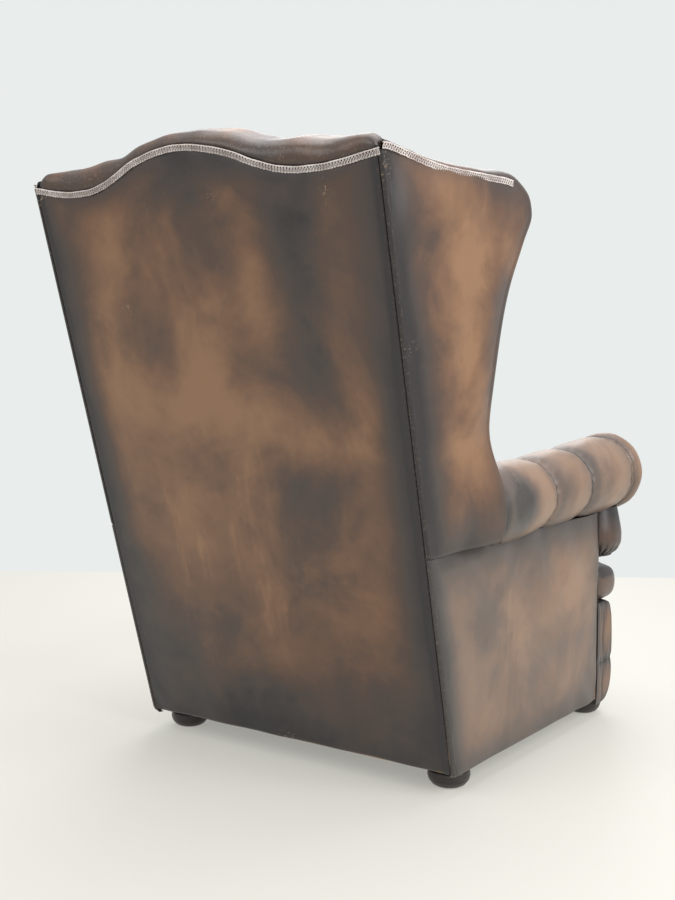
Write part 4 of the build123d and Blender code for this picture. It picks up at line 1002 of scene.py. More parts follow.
def makeInsideArm(side):
    # Side section of a straight face, an outward swell and a top arc, changed beside the wing
    look, name = insideArm, sideNames[side]
    y = np.linspace(look["rear"], look["front"] + 0.001, 190)[:, None]
    share = np.linspace(0, 1, 110)[None]
    behind = ease((y - chair["wingEdge"] + 0.012) / 0.024)
    sections = ("frontX", "frontZ", "rearX", "rearZ")
    frontX, frontZ, rearX, rearZ = (smoothLine(look["knots"], look[line], share) for line in sections)
    x = frontX + (rearX - frontX) * behind
    z = frontZ + (rearZ - frontZ) * behind
    places = [(spot, look["buttonShare"] * look["run"]) for spot in look["buttons"]]
    lines = [(spot, start, spot, end) for spot in look["buttons"] for start, end in ((0.165, -0.02), (0.175, 0.34))]
    height, crease, sunk = tuftHeight(y, share * look["run"], places, lines, look)
    endFade = ease((y - look["front"]) / 0.02) * ease((look["rear"] - y) / 0.03)
    lift = height * (0.35 + 0.65 * endFade) - 0.006 * (1 - endFade)
    lift = lift + 0.004 * ease(share * 5) - 0.010 * (1 - ease((1 - share) / 0.08))
    points = gridPoints(x, y, z)
    inner = np.array([0.30, -0.10, 0.35])
    points = points + lift[..., None] * gridNormals(points, inner)
    # Painted shade in the pleats and buttons, at the top under the roll, at both ends and low down beside the seat
    dark = mostOf(0.85 * crease, sunk, 0.8 * bell(1 - share, 0.06), 0.7 * (1 - endFade), 0.7 * bell(share, 0.25))
    fields = {"dark": dark, "tan": 0.45 * (1 - crease) * bell(share - 0.7, 0.4)}
    piece = gridPiece(f"insideArm_{name}", points * (side, 1, 1), inner * (side, 1, 1), fields, sharp=80)
    return place(piece, "chair", finishes["padLeather"], f"inside_arm_{name}", slot="stuffed_leather", fill=0.7)


for side in sideNames:
    makeOutsideArm(side)
    makeArmRoll(side)
    makeArmFront(side)
    makeInsideArm(side)
print("Arms made")


# Front border: two rolls of leather with a buttoned valley between them

border = {
    "bottom": 0.026, "top": 0.238, "faceY": -0.42597, "half": 0.3650, "rearY": -0.3445, "corner": 0.009,
    "pinch": 0.114, "buttonPitch": 0.096, "buttonCount": 7,
    "valley": 0.0155, "rows": 118, "sideColumns": 26, "cornerColumns": 14, "frontColumns": 260, "sidePleat": -0.372,
    "profile": [
        (0.238, -0.030), (0.232, -0.014), (0.212, -0.005), (0.180, -0.001), (0.145, 0.0), (0.122, -0.001),
        (0.1145, -0.003), (0.107, -0.002), (0.090, -0.001), (0.068, -0.003), (0.048, -0.010), (0.032, -0.024),
        (0.026, -0.040),
    ],
}


def makeBorder():
    # Rounded plan at each level, set back by the profile, less at the sides than in front
    look = border
    level = denseEnds(look["rows"], share=0.3)
    length = lengthAlong(look["profile"])
    z, back = smoothLine(length / length[-1], look["profile"], level).T[:, None]
    half, front, corner = look["half"] + 0.10 * back, look["faceY"] - back, look["corner"]
    side = np.linspace(0, 1, look["sideColumns"], endpoint=False)[:, None]
    turn = np.linspace(0, pi / 2, look["cornerColumns"], endpoint=False)[:, None]
    flat = np.linspace(0, 1, look["frontColumns"])[:, None]
    sideY = look["rearY"] + side * (front + corner - look["rearY"])
    turnX, turnY = half - corner * (1 - np.cos(turn)), front + corner * (1 - np.sin(turn))
    edge, face = half + 0 * side, front + 0 * flat
    x = np.concatenate([-edge, -turnX, (-half + corner) + flat * 2 * (half - corner), turnX[::-1], edge])
    y = np.concatenate([sideY, turnY, face, turnY[::-1], sideY[::-1]])
    spots = (np.arange(look["buttonCount"]) - (look["buttonCount"] - 1) / 2) * look["buttonPitch"]
    fromPinch = z - look["pinch"]
    inFront = bell(y - front, 0.012)
    nearFront = 1 - ease((np.abs(x) - 0.315) / 0.04)
    valley = np.exp(-(np.abs(fromPinch + 0.001 * np.sin(x * 90 + y * 80)) / 0.0085) ** 1.3)
    pleat = sunk = np.zeros(x.shape)
    for spot in spots:
        lean = x - spot - 0.002 * np.sin(z * 60 + spot * 50)
        pleat = np.maximum(pleat, np.exp(-(np.abs(lean) / 0.0065) ** 1.2) * (0.35 + 0.65 * bell(fromPinch, 0.05)))
        sunk = np.maximum(sunk, bell(np.hypot(x - spot, fromPinch), 0.016))
    pleat, sunk = pleat * inFront, sunk * inFront
    sidePleat = np.exp(-(np.abs(y - look["sidePleat"] + 0.002 * np.sin(z * 70)) / 0.005) ** 1.2) * (1 - inFront)
    along = np.where(inFront > 0.5, x, y)
    gather = np.sin(along * 260 + 3 * np.sin(along * 37))
    gather = gather * (bell(z - look["top"], 0.035) + 0.8 * bell(fromPinch, 0.022))
    points = gridPoints(x, y, z)
    inner = np.array([0, -0.375, 0.13])
    lift = 0.0007 * gather - 0.0045 * pleat - 0.003 * sunk - 0.0016 * sidePleat
    lift = lift - look["valley"] * valley * (0.09 + 0.91 * nearFront * inFront)
    lift = lift - 0.002 * bell(fromPinch, 0.02) * nearFront
    points = points + lift[..., None] * gridNormals(points, inner)
    # Painted shade in the pleats, the buttoned valley and the side pleat, under the cushion at the top, at the foot
    # and at the rear ends of the sides
    dark = mostOf(
        0.85 * pleat, 0.9 * bell(fromPinch, 0.010), 0.8 * bell(z - look["top"], 0.014),
        0.7 * bell(z - look["bottom"], 0.016), 0.75 * sidePleat, 0.7 * bell(y - look["rearY"], 0.014) * (1 - inFront),
    )
    faded = 0.42 * (bell(z - 0.176, 0.03) + bell(z - 0.068, 0.022)) * (1 - pleat) + 0.20 * (1 - inFront)
    fields = {"dark": dark, "tan": faded, "worn": 0.12 * bell(z - 0.036, 0.008)}
    piece = gridPiece("frontBorder", points, inner, fields, sharp=75)
    return place(piece, "chair", finishes["padLeather"], "front_border", slot="stuffed_leather", fill=0.7)


makeBorder()


# Inside back: diamond buttoning that runs out in pleats over the crest

insideBack = {
    "columns": 260, "faceRows": 190, "padTop": 0.125, "padFoot": 0.190, "breakHeight": 0.930, "low": 0.160,
    "frontRound": 0.060, "rearRound": 0.038, "hump": 0.038, "shoulderDrop": 0.003, "half": 0.3560,
    "narrowFrom": 0.268, "sideFrom": 0.235, "armReach": 0.275, "wingReach": 0.337,
    "pitch": 0.104, "rowPitch": 0.092, "rowCount": 6, "firstRow": 0.440,
    "pillowLift": 0.015, "creaseDepth": 0.006, "buttonDepth": 0.010, "pillowWidth": 0.023, "pillowPower": 1.25,
    "buttonWidth": 0.019,
    "crest": [(0, 0), (0.12, 0.06), (0.25, 0.26), (0.38, 0.63), (0.55, 0.79), (0.74, 0.97), (0.93, 1)],
}


def padFall():
    # How much the pad thickens for each metre down its slope
    look = insideBack
    return (look["padFoot"] - look["padTop"]) / (riseOf(look["breakHeight"]) - riseOf(chair["deckHeight"]))


def backButtons():
    # Rows of four and five in turn, each by its place across and up from the break of the pad
    look = insideBack
    tilt = chair["rake"] + np.arctan(padFall())
    breakZ = backSpot(0, riseOf(look["breakHeight"]), -look["padTop"])[2]
    first = (look["firstRow"] - breakZ) / cos(tilt)
    places = []
    for row in range(look["rowCount"]):
        count = 4 + row % 2
        up = first + row * look["rowPitch"]
        places += [((column - (count - 1) / 2) * look["pitch"], up) for column in range(count)]
    return places, tilt


def pleatLines(places):
    # Pleats from each button to its neighbours above, over the crest, down to the seat, and out to the sides
    lowest, highest = places[0][1], places[-1][1]
    lines = []
    for px, pz in places:
        lines += [(px, pz, qx, qz) for qx, qz in places if 0 < qz - pz < 0.1 and abs(qx - px) < 0.06]
        if pz == highest:
            lines.append((px, pz, px, pz + 0.5))
        if pz == lowest:
            lines.append((px, pz, px, pz - 0.4))
        if abs(px) > 0.2 and pz != highest:
            lines.append((px, pz, np.sign(px) * 0.33, pz + 0.02))
    return lines + [(way * 0.156, lowest, way * 0.33, lowest - 0.10) for way in (-1, 1)]


def makeInsideBack():
    # Side sections of depth and rise, run over the two rounds of the crest, then lifted by the tufting
    look = insideBack
    x = np.linspace(-1, 1, look["columns"])[:, None] * look["half"]
    shoulder = (look["half"] / chair["cornerHalf"], (look["hump"] + look["shoulderDrop"]) / look["hump"])
    shares = np.array([*look["crest"], shoulder])
    shares = np.vstack([shares[:0:-1] * (-1, 1), shares])
    drop = smoothLine(shares[:, 0] * chair["cornerHalf"], shares[:, 1] * look["hump"], offCentre(x))
    rear, front, pad = look["rearRound"], look["frontRound"], look["padTop"]
    lift = front * (1 - cos(chair["rake"])) + (pad - front) * sin(chair["rake"])
    top = (chair["height"] - 0.0015 - drop - lift - chair["bottom"]) / cos(chair["rake"])
    breakRise, low, trim = riseOf(look["breakHeight"]), riseOf(look["low"]), trimRise(x) + 0.002
    face, bridge, flat = (np.linspace(0, 1, count, endpoint=False)[None] for count in (look["faceRows"], 6, 8))
    turn = np.linspace(0, pi / 2, 26, endpoint=False)[None]
    last = np.linspace(0, 1, 8)[None]
    # where the crest is low its front round starts below the break, so the face gives way
    gap = top - front - breakRise
    mend = np.minimum(gap, 0.0)
    # face, bridge, front round, flat top, rear round, and the end tucked behind the trim line
    sections = [
        (pad + padFall() * (breakRise - low) * (1 - face), low + face * (breakRise + mend - low)),
        (pad, breakRise + mend + bridge * (gap - mend)),
        (pad - front * (1 - np.cos(turn)), top - front + front * np.sin(turn)),
        (pad - front + flat * (rear - pad + front), top),
        (0.003 + (rear - 0.003) * (1 - np.sin(turn)), trim + (top - trim) * np.cos(turn)),
        (0.003 + 0.005 * last, trim - 0.014 * last),
    ]
    full = (np.broadcast_arrays(depth, rise, x)[:2] for depth, rise in sections)
    depth, rise = (np.concatenate(parts, 1) for parts in zip(*full))
    # the crest draws in toward the rear corners, where the wings take over
    height = chair["bottom"] + rise * cos(chair["rake"])
    narrow = ease((np.abs(x) - look["narrowFrom"]) / 0.075) * ease((height - 0.90) / 0.10)
    depth = 0.003 + (depth - 0.003) * (1 - 0.66 * narrow)
    # below the crest the sides draw in to the wings, and lower down to the arms
    armEase, wingEase = ease((height - 0.50) / 0.06), ease((height - 0.93) / 0.10)
    reach = look["armReach"] + (look["wingReach"] - look["armReach"]) * armEase
    reach = reach + (look["half"] - look["wingReach"]) * wingEase
    side = look["sideFrom"]
    wide = np.where(np.abs(x) < side, np.abs(x), side + (np.abs(x) - side) * (reach - side) / (look["half"] - side))
    points = backSpot(np.sign(x) * wide, rise, -depth)
    steps = np.linalg.norm(np.diff(points, axis=1), axis=-1)
    length = np.pad(np.cumsum(steps, 1), ((0, 0), (1, 0)))
    along = length - length[len(x) // 2, look["faceRows"]]
    # diamonds up to the top row, then pleats that fan out over the crest and fade
    places = backButtons()[0]
    highest = places[-1][1]
    across = x / (1 + 0.35 * ease((along - highest) / 0.16))
    height, crease, sunk = tuftHeight(across, along, places, pleatLines(places), look)
    over = ease((along - highest - 0.10) / 0.10)
    trimEnd, edge = length[:, -1:] - length, look["half"] - np.abs(x)
    flatten = over * (0.93 - 0.50 * bell(across + 0.150, 0.04))
    height = (height * (1 - flatten) + 0.006 * flatten) * ease((trimEnd - 0.012) / 0.03) * ease(edge / 0.02)
    height = height - 0.003 * bell(trimEnd, 0.010) - rollEdge(edge, 0.010) * over
    height = height - 0.012 * (1 - over) * bell(np.abs(x) - 0.285, 0.02)
    height = height + 0.0006 * np.sin(x * 90 + along * 40) * over
    inner = np.array([0, 0.28, 0.70])
    points = points + height[..., None] * gridNormals(points, inner)
    # Painted shade in the pleats and buttons, at the end tucked behind the trim, at the edges and down the sides
    # beside the wings and arms
    dark = mostOf(
        0.88 * crease * (1 - 0.7 * over), sunk, 0.75 * bell(trimEnd, 0.015), 0.7 * bell(edge, 0.02),
        0.6 * bell(np.abs(x) - 0.29, 0.03) * (1 - over),
    )
    band = 0.75 * over * bell(trimEnd - 0.075, 0.035) * (0.5 + 0.5 * np.sin(across * 60 + 1.0) ** 2)
    fields = {
        "dark": dark, "tan": (0.42 * (1 - over) + band) * (1 - crease),
        "worn": 0.32 * over * bell(trimEnd - 0.045, 0.035),
    }
    piece = gridPiece("insideBack", points, inner, fields, sharp=85)
    return place(piece, "chair", finishes["padLeather"], "inside_back", slot="stuffed_leather", fill=0.75)


makeInsideBack()
print("Border and inside back made")


# Covered buttons: a low dome on a pinched rim

button = {"radius": 0.0098, "height": 0.0062, "foot": 0.006, "around": 20, "rings": 7}


def buttonParts(places, normals):
    # Dome of radius sin and height cos, turned onto each normal
    radius, height = button["radius"], button["height"]
    turn = np.linspace(0, 2 * pi, button["around"], endpoint=False)
    rise = np.linspace(0, pi / 2 + 0.55, button["rings"])[:, None, None]
    parts = []
    for spot, normal in zip(places, unit(np.asarray(normals, float))):
        across = unit(np.cross(normal, (0.3, 0.2, 0.93)))
        ring = np.cos(turn)[:, None] * across + np.sin(turn)[:, None] * np.cross(normal, across)
        points = spot + radius * np.sin(rise) * ring + height * np.cos(rise) * normal
        points[0] = spot + height * normal
        points = np.concatenate([points, np.broadcast_to(spot - button["foot"] * normal, (1, len(turn), 3))])
        parts.append((points, gridFaces(*points.shape[:2], loopColumns=True)))
    return parts


def nodeCentres(node):
    # Middles of the loose solids of a CAD node
    mesh = bmesh.new()
    mesh.from_mesh(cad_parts[node].data)
    bmesh.ops.remove_doubles(mesh, verts=mesh.verts, dist=1e-5)
    left, centres = set(mesh.verts), []
    while left:
        group, edge = set(), [left.pop()]
        while edge:
            vert = edge.pop()
            group.add(vert)
            for link in vert.link_edges:
                other = link.other_vert(vert)
                if other in left:
                    left.remove(other)
                    edge.append(other)
        spots = np.array([v.co for v in group])
        centres.append((spots.min(0) + spots.max(0)) / 2)
    mesh.free()
    return np.array(sorted(centres, key=tuple))


def makeButtons(name, node, normal, lift):
    # One piece for all the buttons of a node, each set out from its own solid
    places = nodeCentres(node) + lift
    piece = joinParts(name, buttonParts(places, [normal] * len(places)), sharp=70)
    setField(piece.data, "tan", np.full(len(piece.data.vertices), 0.25))
    return place(piece, "chair", finishes["padLeather"], node, slot="leather")


def makeAllButtons():
    # Buttons face out of the leather they sink into, and one closes the nose of each roll
    tilt = backButtons()[1]
    facing = np.array([0, -cos(tilt), sin(tilt)])
    makeButtons("backButtons", "back_buttons", facing, 0.001 * facing)
    makeButtons("borderButtons", "border_buttons", (0, -1, 0), (0, 0.001, 0))
    for side, name in sideNames.items():
        inward = wingBase()[3] * (side, 1, 1)
        makeButtons(f"wingButtons_{name}", f"wing_buttons_{name}", inward, 0.001 * inward)
        makeButtons(f"armButtons_{name}", f"arm_buttons_{name}", (-side, 0, 0), (-0.002 * side, 0, 0))
        centre, course = (v * (side, 1, 1) for v in rollFrame()[:2])
        tip = centre + course * (armRoll["length"] - 0.0065)
        piece = joinParts(f"scrollButton_{name}", buttonParts([tip], [course]), sharp=70)
        place(piece, "chair", finishes["padLeather"], slot="leather")


makeAllButtons()


# Seat: a sprung-edge deck, and the loose T cushion swelled by a short cloth simulation

seat = {
    "neckHalf": 0.2425, "earHalf": 0.3640, "earRear": -0.3610, "nose": -0.4770, "base": 0.0343, "edge": 0.0630,
    "crown": 0.018, "barrel": 0.020, "bulge": 0.026, "earRound": 0.006, "inner": (0, -0.30, 0.28), "rearHeight": 0.30,
    "voxel": 0.0062, "pressure": 3.2, "cap": 0.006, "steps": 16, "stretchStiff": 22, "bendStiff": 2.5,
    "shrink": 0.001, "foamIn": 0.013, "earSag": 0.007,
}


def deckZ(y, above=0.0):
    # Height of the sloping seat plane at a Y
    slope = chair["deckSlope"]
    return chair["deckHeight"] + (chair["deckFront"] - y) * tan(slope) + above / cos(slope)


def teeOutline(count, neck, ear, earRear, nose, rear, sag=0.004):
    # Corner points of the T joined by straight runs, its front corners turned by short arcs
    r = seat["earRound"]
    turn = np.linspace(0, pi / 2, 9)
    corner = np.stack([ear - r + r * np.sin(turn), nose + r - r * np.cos(turn)], -1)
    half = np.vstack([
        [0, nose - sag], [ear * 0.5, nose - sag * 0.7], corner, [ear, earRear - 0.006], [ear - 0.006, earRear],
        [neck + 0.004, earRear], [neck, earRear + 0.004], [neck, rear - 0.012], [neck - 0.012, rear], [0, rear],
    ])
    loop = np.vstack([half, half[-2:0:-1] * (-1, 1), half[:1]])
    length = lengthAlong(loop)
    return onLine(np.linspace(0, length[-1], count, endpoint=False), length, loop)


def teePad(outline, base, edge, crown, bulge, barrel=0.0):
    # Rings from the middle of the top out to the edge, down the rounded side and in under the pad
    centre = np.array([0, -0.412])
    side = np.linspace(-pi / 2, pi / 2, 13)
    inward = np.linspace(0, 1, 26) ** 0.8
    rings = lambda above, beside, below: np.concatenate([above + 0 * inward, beside, below + 0 * inward])[:, None]
    shares = np.concatenate([inward, np.ones(len(side)), inward[::-1]])[:, None]
    levels, onTop = rings(1, (1 - np.sin(side)) / 2, 0), rings(1, 0 * side, 0)
    push = rings(0, np.abs(np.cos(side)) ** 0.6 * bulge, 0)
    run = np.roll(outline, -1, 0) - np.roll(outline, 1, 0)
    away = unit(np.stack([run[:, 1], -run[:, 0]], -1))
    away = away * np.sign(np.sum(away * (outline - centre), -1).sum())
    flat = centre + shares[..., None] * (outline - centre) + push[..., None] * away
    x, y = flat[..., 0], flat[..., 1]
    # the top rises toward the middle of the depth, as one less the square of the distance from it
    arch = barrel * np.clip(1 - ((y + 0.22) / 0.25) ** 2, 0, 1)
    return gridPoints(x, y, deckZ(y, base) + levels * (edge + arch) + crown * (1 - shares ** 3) * onTop)


def swellCloth(piece, look):
    # A short pressure simulation on an even mesh, with each point's travel capped
    scene = bpy.context.scene
    bpy.context.view_layer.objects.active = piece
    even = piece.modifiers.new("even", "REMESH")
    even.mode, even.voxel_size = "VOXEL", look["voxel"]
    bpy.ops.object.modifier_apply(modifier=even.name)
    rest = np.zeros(len(piece.data.vertices) * 3)
    piece.data.vertices.foreach_get("co", rest)
    rest = rest.reshape(-1, 3)
    soft = piece.modifiers.new("swell", "CLOTH")
    soft.settings.use_pressure = True
    soft.settings.uniform_pressure_force = look["pressure"]
    soft.settings.effector_weights.gravity = 0
    soft.settings.tension_stiffness = soft.settings.compression_stiffness = look["stretchStiff"]
    soft.settings.bending_stiffness = look["bendStiff"]
    soft.point_cache.frame_end = look["steps"] + 1
    for step in range(1, look["steps"] + 1):
        scene.frame_set(step)
    bpy.ops.object.modifier_apply(modifier=soft.name)
    scene.frame_set(1)
    moved = np.zeros(rest.size)
    piece.data.vertices.foreach_get("co", moved)
    travel = moved.reshape(-1, 3) - rest
    size = np.linalg.norm(travel, axis=1, keepdims=True)
    rest = rest + travel * np.minimum(1, look["cap"] / np.maximum(size, 1e-9))
    return rest


def seatOutline(count, inset, rear):
    # The T of the seat, drawn in all round
    front = (seat["neckHalf"] - inset, seat["earHalf"] - inset, seat["earRear"] - inset, seat["nose"] + inset)
    return teeOutline(count, *front, rear)


def makeCushion():
    # The swelled T, then drawn-in sides, softened edges, soft creases and a flat seat on the deck
    look = seat
    outline = seatOutline(220, look["shrink"] + look["bulge"], padFaceY(look["rearHeight"]) - 0.008)
    base = look["base"] + 0.0005
    points = teePad(outline, base + 0.001, look["edge"], look["crown"], look["bulge"], look["barrel"])
    piece = gridPiece("seatCushion", points, look["inner"], loopColumns=True, close=False)
    spots = swellCloth(piece, look)
    x, y, z = spots.T
    floorZ = deckZ(y, base)
    z[:] = np.maximum(z, floorZ + 0.0003)
    share = np.clip((z - floorZ) / (look["edge"] + 0.006), 0, 1)
    limitX = np.where(y > look["earRear"] - 0.002, look["neckHalf"], look["earHalf"])
    x[:] = np.clip(x, -limitX, limitX)
    y[:] = np.clip(y, look["nose"] - 0.002, padFaceY(z) - 0.004)
    creases = 0.0009 * np.sin(x * 38 + 3 * np.sin(y * 14)) * bell(y - look["nose"] - 0.02, 0.05)
    z += (creases + 0.0012 * np.sin(y * 23 + x * 17) * share) * ease((share - 0.3) / 0.4)
    # the ears sag onto the border
    z -= look["earSag"] * ease((np.abs(x) - 0.29) / 0.05) * ease((-0.352 - y) / 0.04)
    piece.data.vertices.foreach_set("co", spots.ravel())
    besideNeck = np.where(np.abs(x) > look["neckHalf"], look["earRear"] - y, 9)
    besideEar = np.where(y > look["earRear"], look["neckHalf"] - np.abs(x), 9)
    edgeIn = reduce(np.minimum, [look["earHalf"] - np.abs(x), y - look["nose"], besideNeck, besideEar])
    onTop = share > 0.75
    # Painted shade low on the sides, where the cushion meets the deck; near the edges of the top the dark is partly
    # patina and partly painted shade
    dark = np.where(onTop, 0.70 * bell(edgeIn - 0.012, 0.026), 0.08) + 0.5 * bell(share - 0.06, 0.10)
    setField(piece.data, "dark", np.clip(dark, 0, 1))
    faded = np.where(onTop, 0.35 * ease(edgeIn / 0.10), 0.15)
    setField(piece.data, "tan", faded + 0.30 * bell(y - look["nose"], 0.02) * bell(share - 0.6, 0.35))
    piece.data.polygons.foreach_set("use_smooth", [True] * len(piece.data.polygons))
    soften = piece.modifiers.new("soften", "SMOOTH")
    soften.factor, soften.iterations = 0.5, 6
    finer = piece.modifiers.new("finer", "SUBSURF")
    finer.levels = finer.render_levels = 1
    return place(piece, "seat_cushion", finishes["seatLeather"], "cushion_cover", slot="stuffed_leather", fill=0.8)


def makeCushionFoam():
    # The core keeps an even distance inside the cover
    look = seat
    inset = look["foamIn"]
    outline = seatOutline(160, look["shrink"] + look["bulge"] + inset, padFaceY(look["rearHeight"]) - 0.02)
    edge, bulge = look["edge"] - 2 * inset, look["bulge"] - 0.008
    points = teePad(outline, look["base"] + inset, edge, look["crown"], bulge, look["barrel"])
    piece = gridPiece("cushionFoam", points, look["inner"], loopColumns=True, close=False)
    return place(piece, "seat_cushion", finishes["foam"], "cushion_core", slot="foam", fill=0.8)


def makeDeck():
    # A thin T of cloth over its padding, with a faint weave of dimples on top
    nose, rear = chair["deckFront"] + 0.001, padFaceY(0.22) + 0.016
    outline = teeOutline(200, 0.2440, 0.3620, -0.3545, nose, rear, sag=0.0)
    points = teePad(outline, 0.0045, 0.0265, 0.0015, 0.0)
    x, y = points[..., 0], points[..., 1]
    points[..., 2] += 0.0006 * np.sin(x * 60) * np.sin(y * 55) * (points[..., 2] > deckZ(y, 0.02))
    piece = gridPiece("seatDeck", points, (0, -0.25, 0.20), loopColumns=True, close=False, sharp=50)
    return place(piece, "chair", finishes["hessian"], "seat_deck", slot="deck_cloth", fill=0.5)


makeCushion()
makeCushionFoam()
makeDeck()
print("Seat made")


# Braid: one thread in overlapping loops between two cords

braid = {
    "pitch": 0.0056, "height": 0.0092, "thread": 0.00078, "perLoop": 14, "swing": 0.0030, "drop": 0.0055,
    "cords": [(0.5, 0.0011), (-0.42, 0.00077)], "wingFrom": 0.665, "ends": {1: 0.965, -1: 1.0},
}


def braidParts(path, ups, normals):
    # Loops run forward by the pitch and swing back and forth, rising and falling by the cosine
    look = braid
    length = lengthAlong(path)
    loops = int(length[-1] / look["pitch"])
    t = np.linspace(0, loops, loops * look["perLoop"] + 1)
    spots = np.clip(t / loops * length[-1] + look["swing"] * np.sin(2 * pi * t), 0, length[-1])
    high = look["height"] / 2 * np.cos(2 * pi * t) * (1 + 0.08 * np.sin(t * 1.7))
    over = 0.0018 + 0.0006 * np.sin(4 * pi * t)
    middle, up, normal = (onLine(spots, length, rows) for rows in (path, ups, normals))
    parts = [tubePart(middle + high[:, None] * up + over[:, None] * normal, normal, look["thread"], 5)]
    even = np.linspace(0, length[-1], max(60, int(length[-1] / 0.006)))
    middle, up, normal = (onLine(even, length, rows) for rows in (path, ups, normals))
    for rise, radius in look["cords"]:
        cord = middle + (rise * look["height"] + 0.0002 * np.sin(even * 900)[:, None]) * up + 0.0011 * normal
        parts.append(tubePart(cord, normal, radius, 6))
    return parts


def upAlong(path, normal):
    # Across the path in its surface, turned to point up
    up = np.cross(normal, unit(np.gradient(path, axis=0)))
    return up * np.sign(up[:, 2:])


def makeBraids():
    # Along the trim line of the back, then round the upper edge of each wing
    x = np.linspace(-chair["cornerHalf"] + 0.004, chair["cornerHalf"] - 0.007, 500)
    path = backSpot(x, trimRise(x) - braid["drop"], 0.0012 - 0.003 * bell(braid["drop"], 0.014))
    normal = np.tile(backSpot(0, 0, 1.0) - backSpot(0, 0, 0.0), (len(x), 1))
    parts = braidParts(path, upAlong(path, normal), normal)
    place(joinParts("gimpBack", parts), "chair", finishes["braid"], "gimp_back", slot="gimp")
    spots, edge, outward, nose = wingRows()
    seam = (edge - outward * (nose[:, None] + 0.004))[spots > braid["wingFrom"]]
    path = onWing(seam[:, 0], seam[:, 1], np.full(len(seam), -0.0012))
    path = onLine(np.linspace(0, 1, 400), np.linspace(0, 1, len(path)), path)[:394]
    normal = np.tile(-wingBase()[3], (len(path), 1))
    up = upAlong(path, normal)
    for side, name in sideNames.items():
        kept = int(len(path) * braid["ends"][side])
        parts = braidParts(*(rows[:kept] * (side, 1, 1) for rows in (path, up, normal)))
        piece = joinParts(f"gimpWing_{name}", parts)
        place(piece, "chair", finishes["braid"], f"gimp_wing_{name}", slot="gimp")


makeBraids()
print("Braid made")


# Bun feet, turned

feet = {
    "spots": [(0.29995, 0.15804), (-0.29995, 0.15804), (0.31718, -0.38096), (-0.31718, -0.38096)],
    "rows": 60, "around": 56, "groove": 0.0345,
    "profile": [
        (0, 0), (0.021, 0), (0.0245, 0.0008), (0.030, 0.004), (0.0355, 0.011), (0.0378, 0.019), (0.0368, 0.027),
        (0.0328, 0.0335), (0.0292, 0.0358), (0.0288, 0.0372), (0.0284, 0.0395), (0.0278, 0.0400), (0, 0.0400),
    ],
}


def makeFeet():
    # Turned outline, a fine groove under the shoulder, carried round each foot's axis
    length = lengthAlong(feet["profile"])
    radius, z = onLine(np.linspace(0, length[-1], feet["rows"]), length, feet["profile"]).T[..., None]
    radius = radius - 0.0008 * bell(z - feet["groove"], 0.0012)
    turn = np.linspace(0, 2 * pi, feet["around"], endpoint=False)
    faces = gridFaces(feet["rows"], feet["around"], loopColumns=True, turned=True)
    across, along = radius * np.cos(turn), radius * np.sin(turn)
    piece = joinParts("bunFeet", [(gridPoints(x + across, y + along, z), faces) for x, y in feet["spots"]], sharp=40)
    return place(piece, "chair", finishes["darkTimber"], "bun_feet", slot="foot_wood")


makeFeet()


# The frame's own nodes keep their shape and take their finish

def bothSides(*names):
    # Names of the nodes that come in pairs
    return [f"{name}_{side}" for name in names for side in sideNames.values()]


nodeFinishes = {
    "beech": [
        *bothSides("arm_post", "arm_rail", "rear_post", "side_rail", "wing_frame"),
        "corner_blocks", "crest_rail", "front_rail", "rear_bottom_rail", "rear_seat_rail",
    ],
    "jute": [*bothSides("arm_webbing"), "back_webbing", "seat_webbing_cross", "seat_webbing_long"],
    "cambric": ["dust_cover"], "boltSteel": ["foot_bolts"],
}
for finishName, nodes in nodeFinishes.items():
    for node in nodes:
        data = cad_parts[node].data
        data.materials.clear()
        data.materials.append(finishes[finishName])
print("Frame nodes dressed")


# Camera, floor, an apron in the wall's colour, and lamps

view = {
    "place": (-1.2859, 1.9194, 0.7421), "yaw": 0.6066, "pitch": 0.0786, "focal": 1182.13, "width": 675, "height": 900,
}


def lookLine(right=0.0, down=0.0):
    # Direction through a pixel, counted from the middle of the picture
    yaw, pitch = view["yaw"], view["pitch"]
    ahead = np.array([sin(yaw) * cos(pitch), -cos(yaw) * cos(pitch), -sin(pitch)])
    side = np.array([-cos(yaw), -sin(yaw), 0])
    return ahead + side * right / view["focal"] - np.cross(side, ahead) * down / view["focal"]


def floorSpot(right, down):
    # Where the line through a pixel meets the floor
    ray = lookLine(right - view["width"] / 2, down - view["height"] / 2)
    return np.array(view["place"]) - ray * view["place"][2] / ray[2]


def makeCamera():
    # A lens as long as the focal length in pixels over the picture's height, times the sensor's height
    lens = bpy.data.cameras.new("camera")
    lens.sensor_fit, lens.sensor_height = "VERTICAL", 36
    lens.lens = view["focal"] / view["height"] * lens.sensor_height
    lens.clip_start, lens.clip_end = 0.05, 60
    camera = bpy.data.objects.new("camera", lens)
    camera.location = view["place"]
    camera.rotation_euler = Vector(lookLine()).to_track_quat("-Z", "Y").to_euler()
    bpy.context.scene.collection.objects.link(camera)
    bpy.context.scene.camera = camera


stageLook = {
    "floor": {"paint": (0.69, 0.675, 0.62), "seen": (0.93, 0.918, 0.845), "glow": 0.35, "rough": 0.45},
    "apron": {"paint": (0.80, 0.825, 0.82), "seen": (0.815, 0.845, 0.84), "glow": 1.0, "rough": 0.9},
}


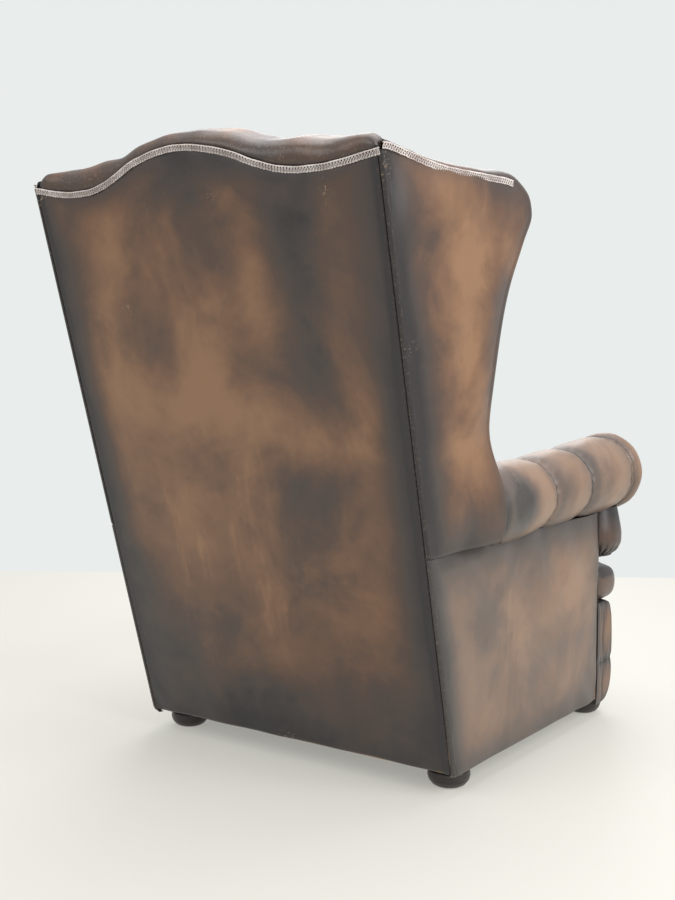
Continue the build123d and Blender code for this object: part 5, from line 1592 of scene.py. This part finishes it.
def stageFinish(name, look):
    # A pale paint that also shows part of its own colour to the camera and in reflections
    finish = Finish(name)
    cloud = finish.noise(finish.place(), 1.1, 3, 0.5)
    paint = finish.mix(cloud * 0.10, look["paint"], tuple(0.9 * v for v in look["paint"]))
    sockets = {"Base Color": paint, "Roughness": cloud * 0.1 + look["rough"], "Specular IOR Level": 0.35}
    shader = finish.add("ShaderNodeBsdfPrincipled", {}, sockets)
    light = finish.add("ShaderNodeEmission", {}, {"Color": (*look["seen"], 1), "Strength": 1.0})
    rays = [finish.add("ShaderNodeLightPath", output=number) for number in (0, 3, 6)]
    shown = (rays[0] + rays[1] + rays[2]).clamp() * look["glow"]
    finish.out(finish.add("ShaderNodeMixShader", {}, {0: shown, 1: shader, 2: light}))
    return finish.material


def makeStage():
    # The floor ends on a line through two places of the picture, and the apron goes on behind it
    left, right = floorSpot(20, 571), floorSpot(650, 577.7)
    along = unit(right - left)
    away = np.array([-along[1], along[0], 0])
    away = away * np.sign(away @ lookLine())
    start, end = left - along * 15, left + along * 17
    sheets = {
        "floor": [start - away * 15, end - away * 15, end, start],
        "apron": [start, end, end + away * 22, start + away * 22],
    }
    for name, corners in sheets.items():
        sheet = addMesh(name, np.array(corners), np.array([[0, 1, 2, 3]]))
        sheet.data.materials.append(stageFinish(name + "Paint", stageLook[name]))


lamps = [
    {"name": "windowLamp", "place": (-3.1, 0.4, 2.3), "aim": (0, 0.1, 0.6), "size": (2.2, 2.2), "power": 92},
    {"name": "rearLamp", "place": (0.9, 3.2, 2.6), "aim": (0, 0.2, 0.6), "size": (2.4, 1.8), "power": 40},
    {"name": "topLamp", "place": (0.0, -0.4, 3.0), "aim": (0, 0, 0.5), "size": (2.6, 2.6), "power": 54},
    {"name": "frontLamp", "place": (1.6, -2.8, 2.2), "aim": (0, -0.1, 0.5), "size": (2.2, 1.8), "power": 40},
]


def makeLamps():
    # Large soft lamps in a pale room, whose own colour the camera sees plainly
    scene = bpy.context.scene
    for look in lamps:
        lamp = bpy.data.lights.new(look["name"], "AREA")
        lamp.shape, lamp.size, lamp.size_y, lamp.energy = "RECTANGLE", *look["size"], look["power"]
        lit = bpy.data.objects.new(look["name"], lamp)
        lit.location = look["place"]
        lit.rotation_euler = (Vector(look["aim"]) - Vector(look["place"])).to_track_quat("-Z", "Y").to_euler()
        scene.collection.objects.link(lit)
    world = scene.world = bpy.data.worlds.new("studio")
    world.use_nodes = True
    nodes, links = world.node_tree.nodes, world.node_tree.links
    kinds = ("ShaderNodeBackground", "ShaderNodeMixShader", "ShaderNodeLightPath")
    room, (seen, mixed, path) = nodes["Background"], (nodes.new(kind) for kind in kinds)
    for light, colour, strength in ((room, (0.97, 0.985, 1.0), 0.55), (seen, stageLook["apron"]["seen"], 1.0)):
        light.inputs[0].default_value, light.inputs[1].default_value = (*colour, 1), strength
    links.new(path.outputs["Is Camera Ray"], mixed.inputs[0])
    links.new(room.outputs[0], mixed.inputs[1])
    links.new(seen.outputs[0], mixed.inputs[2])
    links.new(mixed.outputs[0], nodes["World Output"].inputs[0])


makeCamera()
makeStage()
makeLamps()
bpy.context.scene.view_settings.view_transform = "Standard"
print("Camera, stage and lamps made")

bpy.context.view_layer.update()
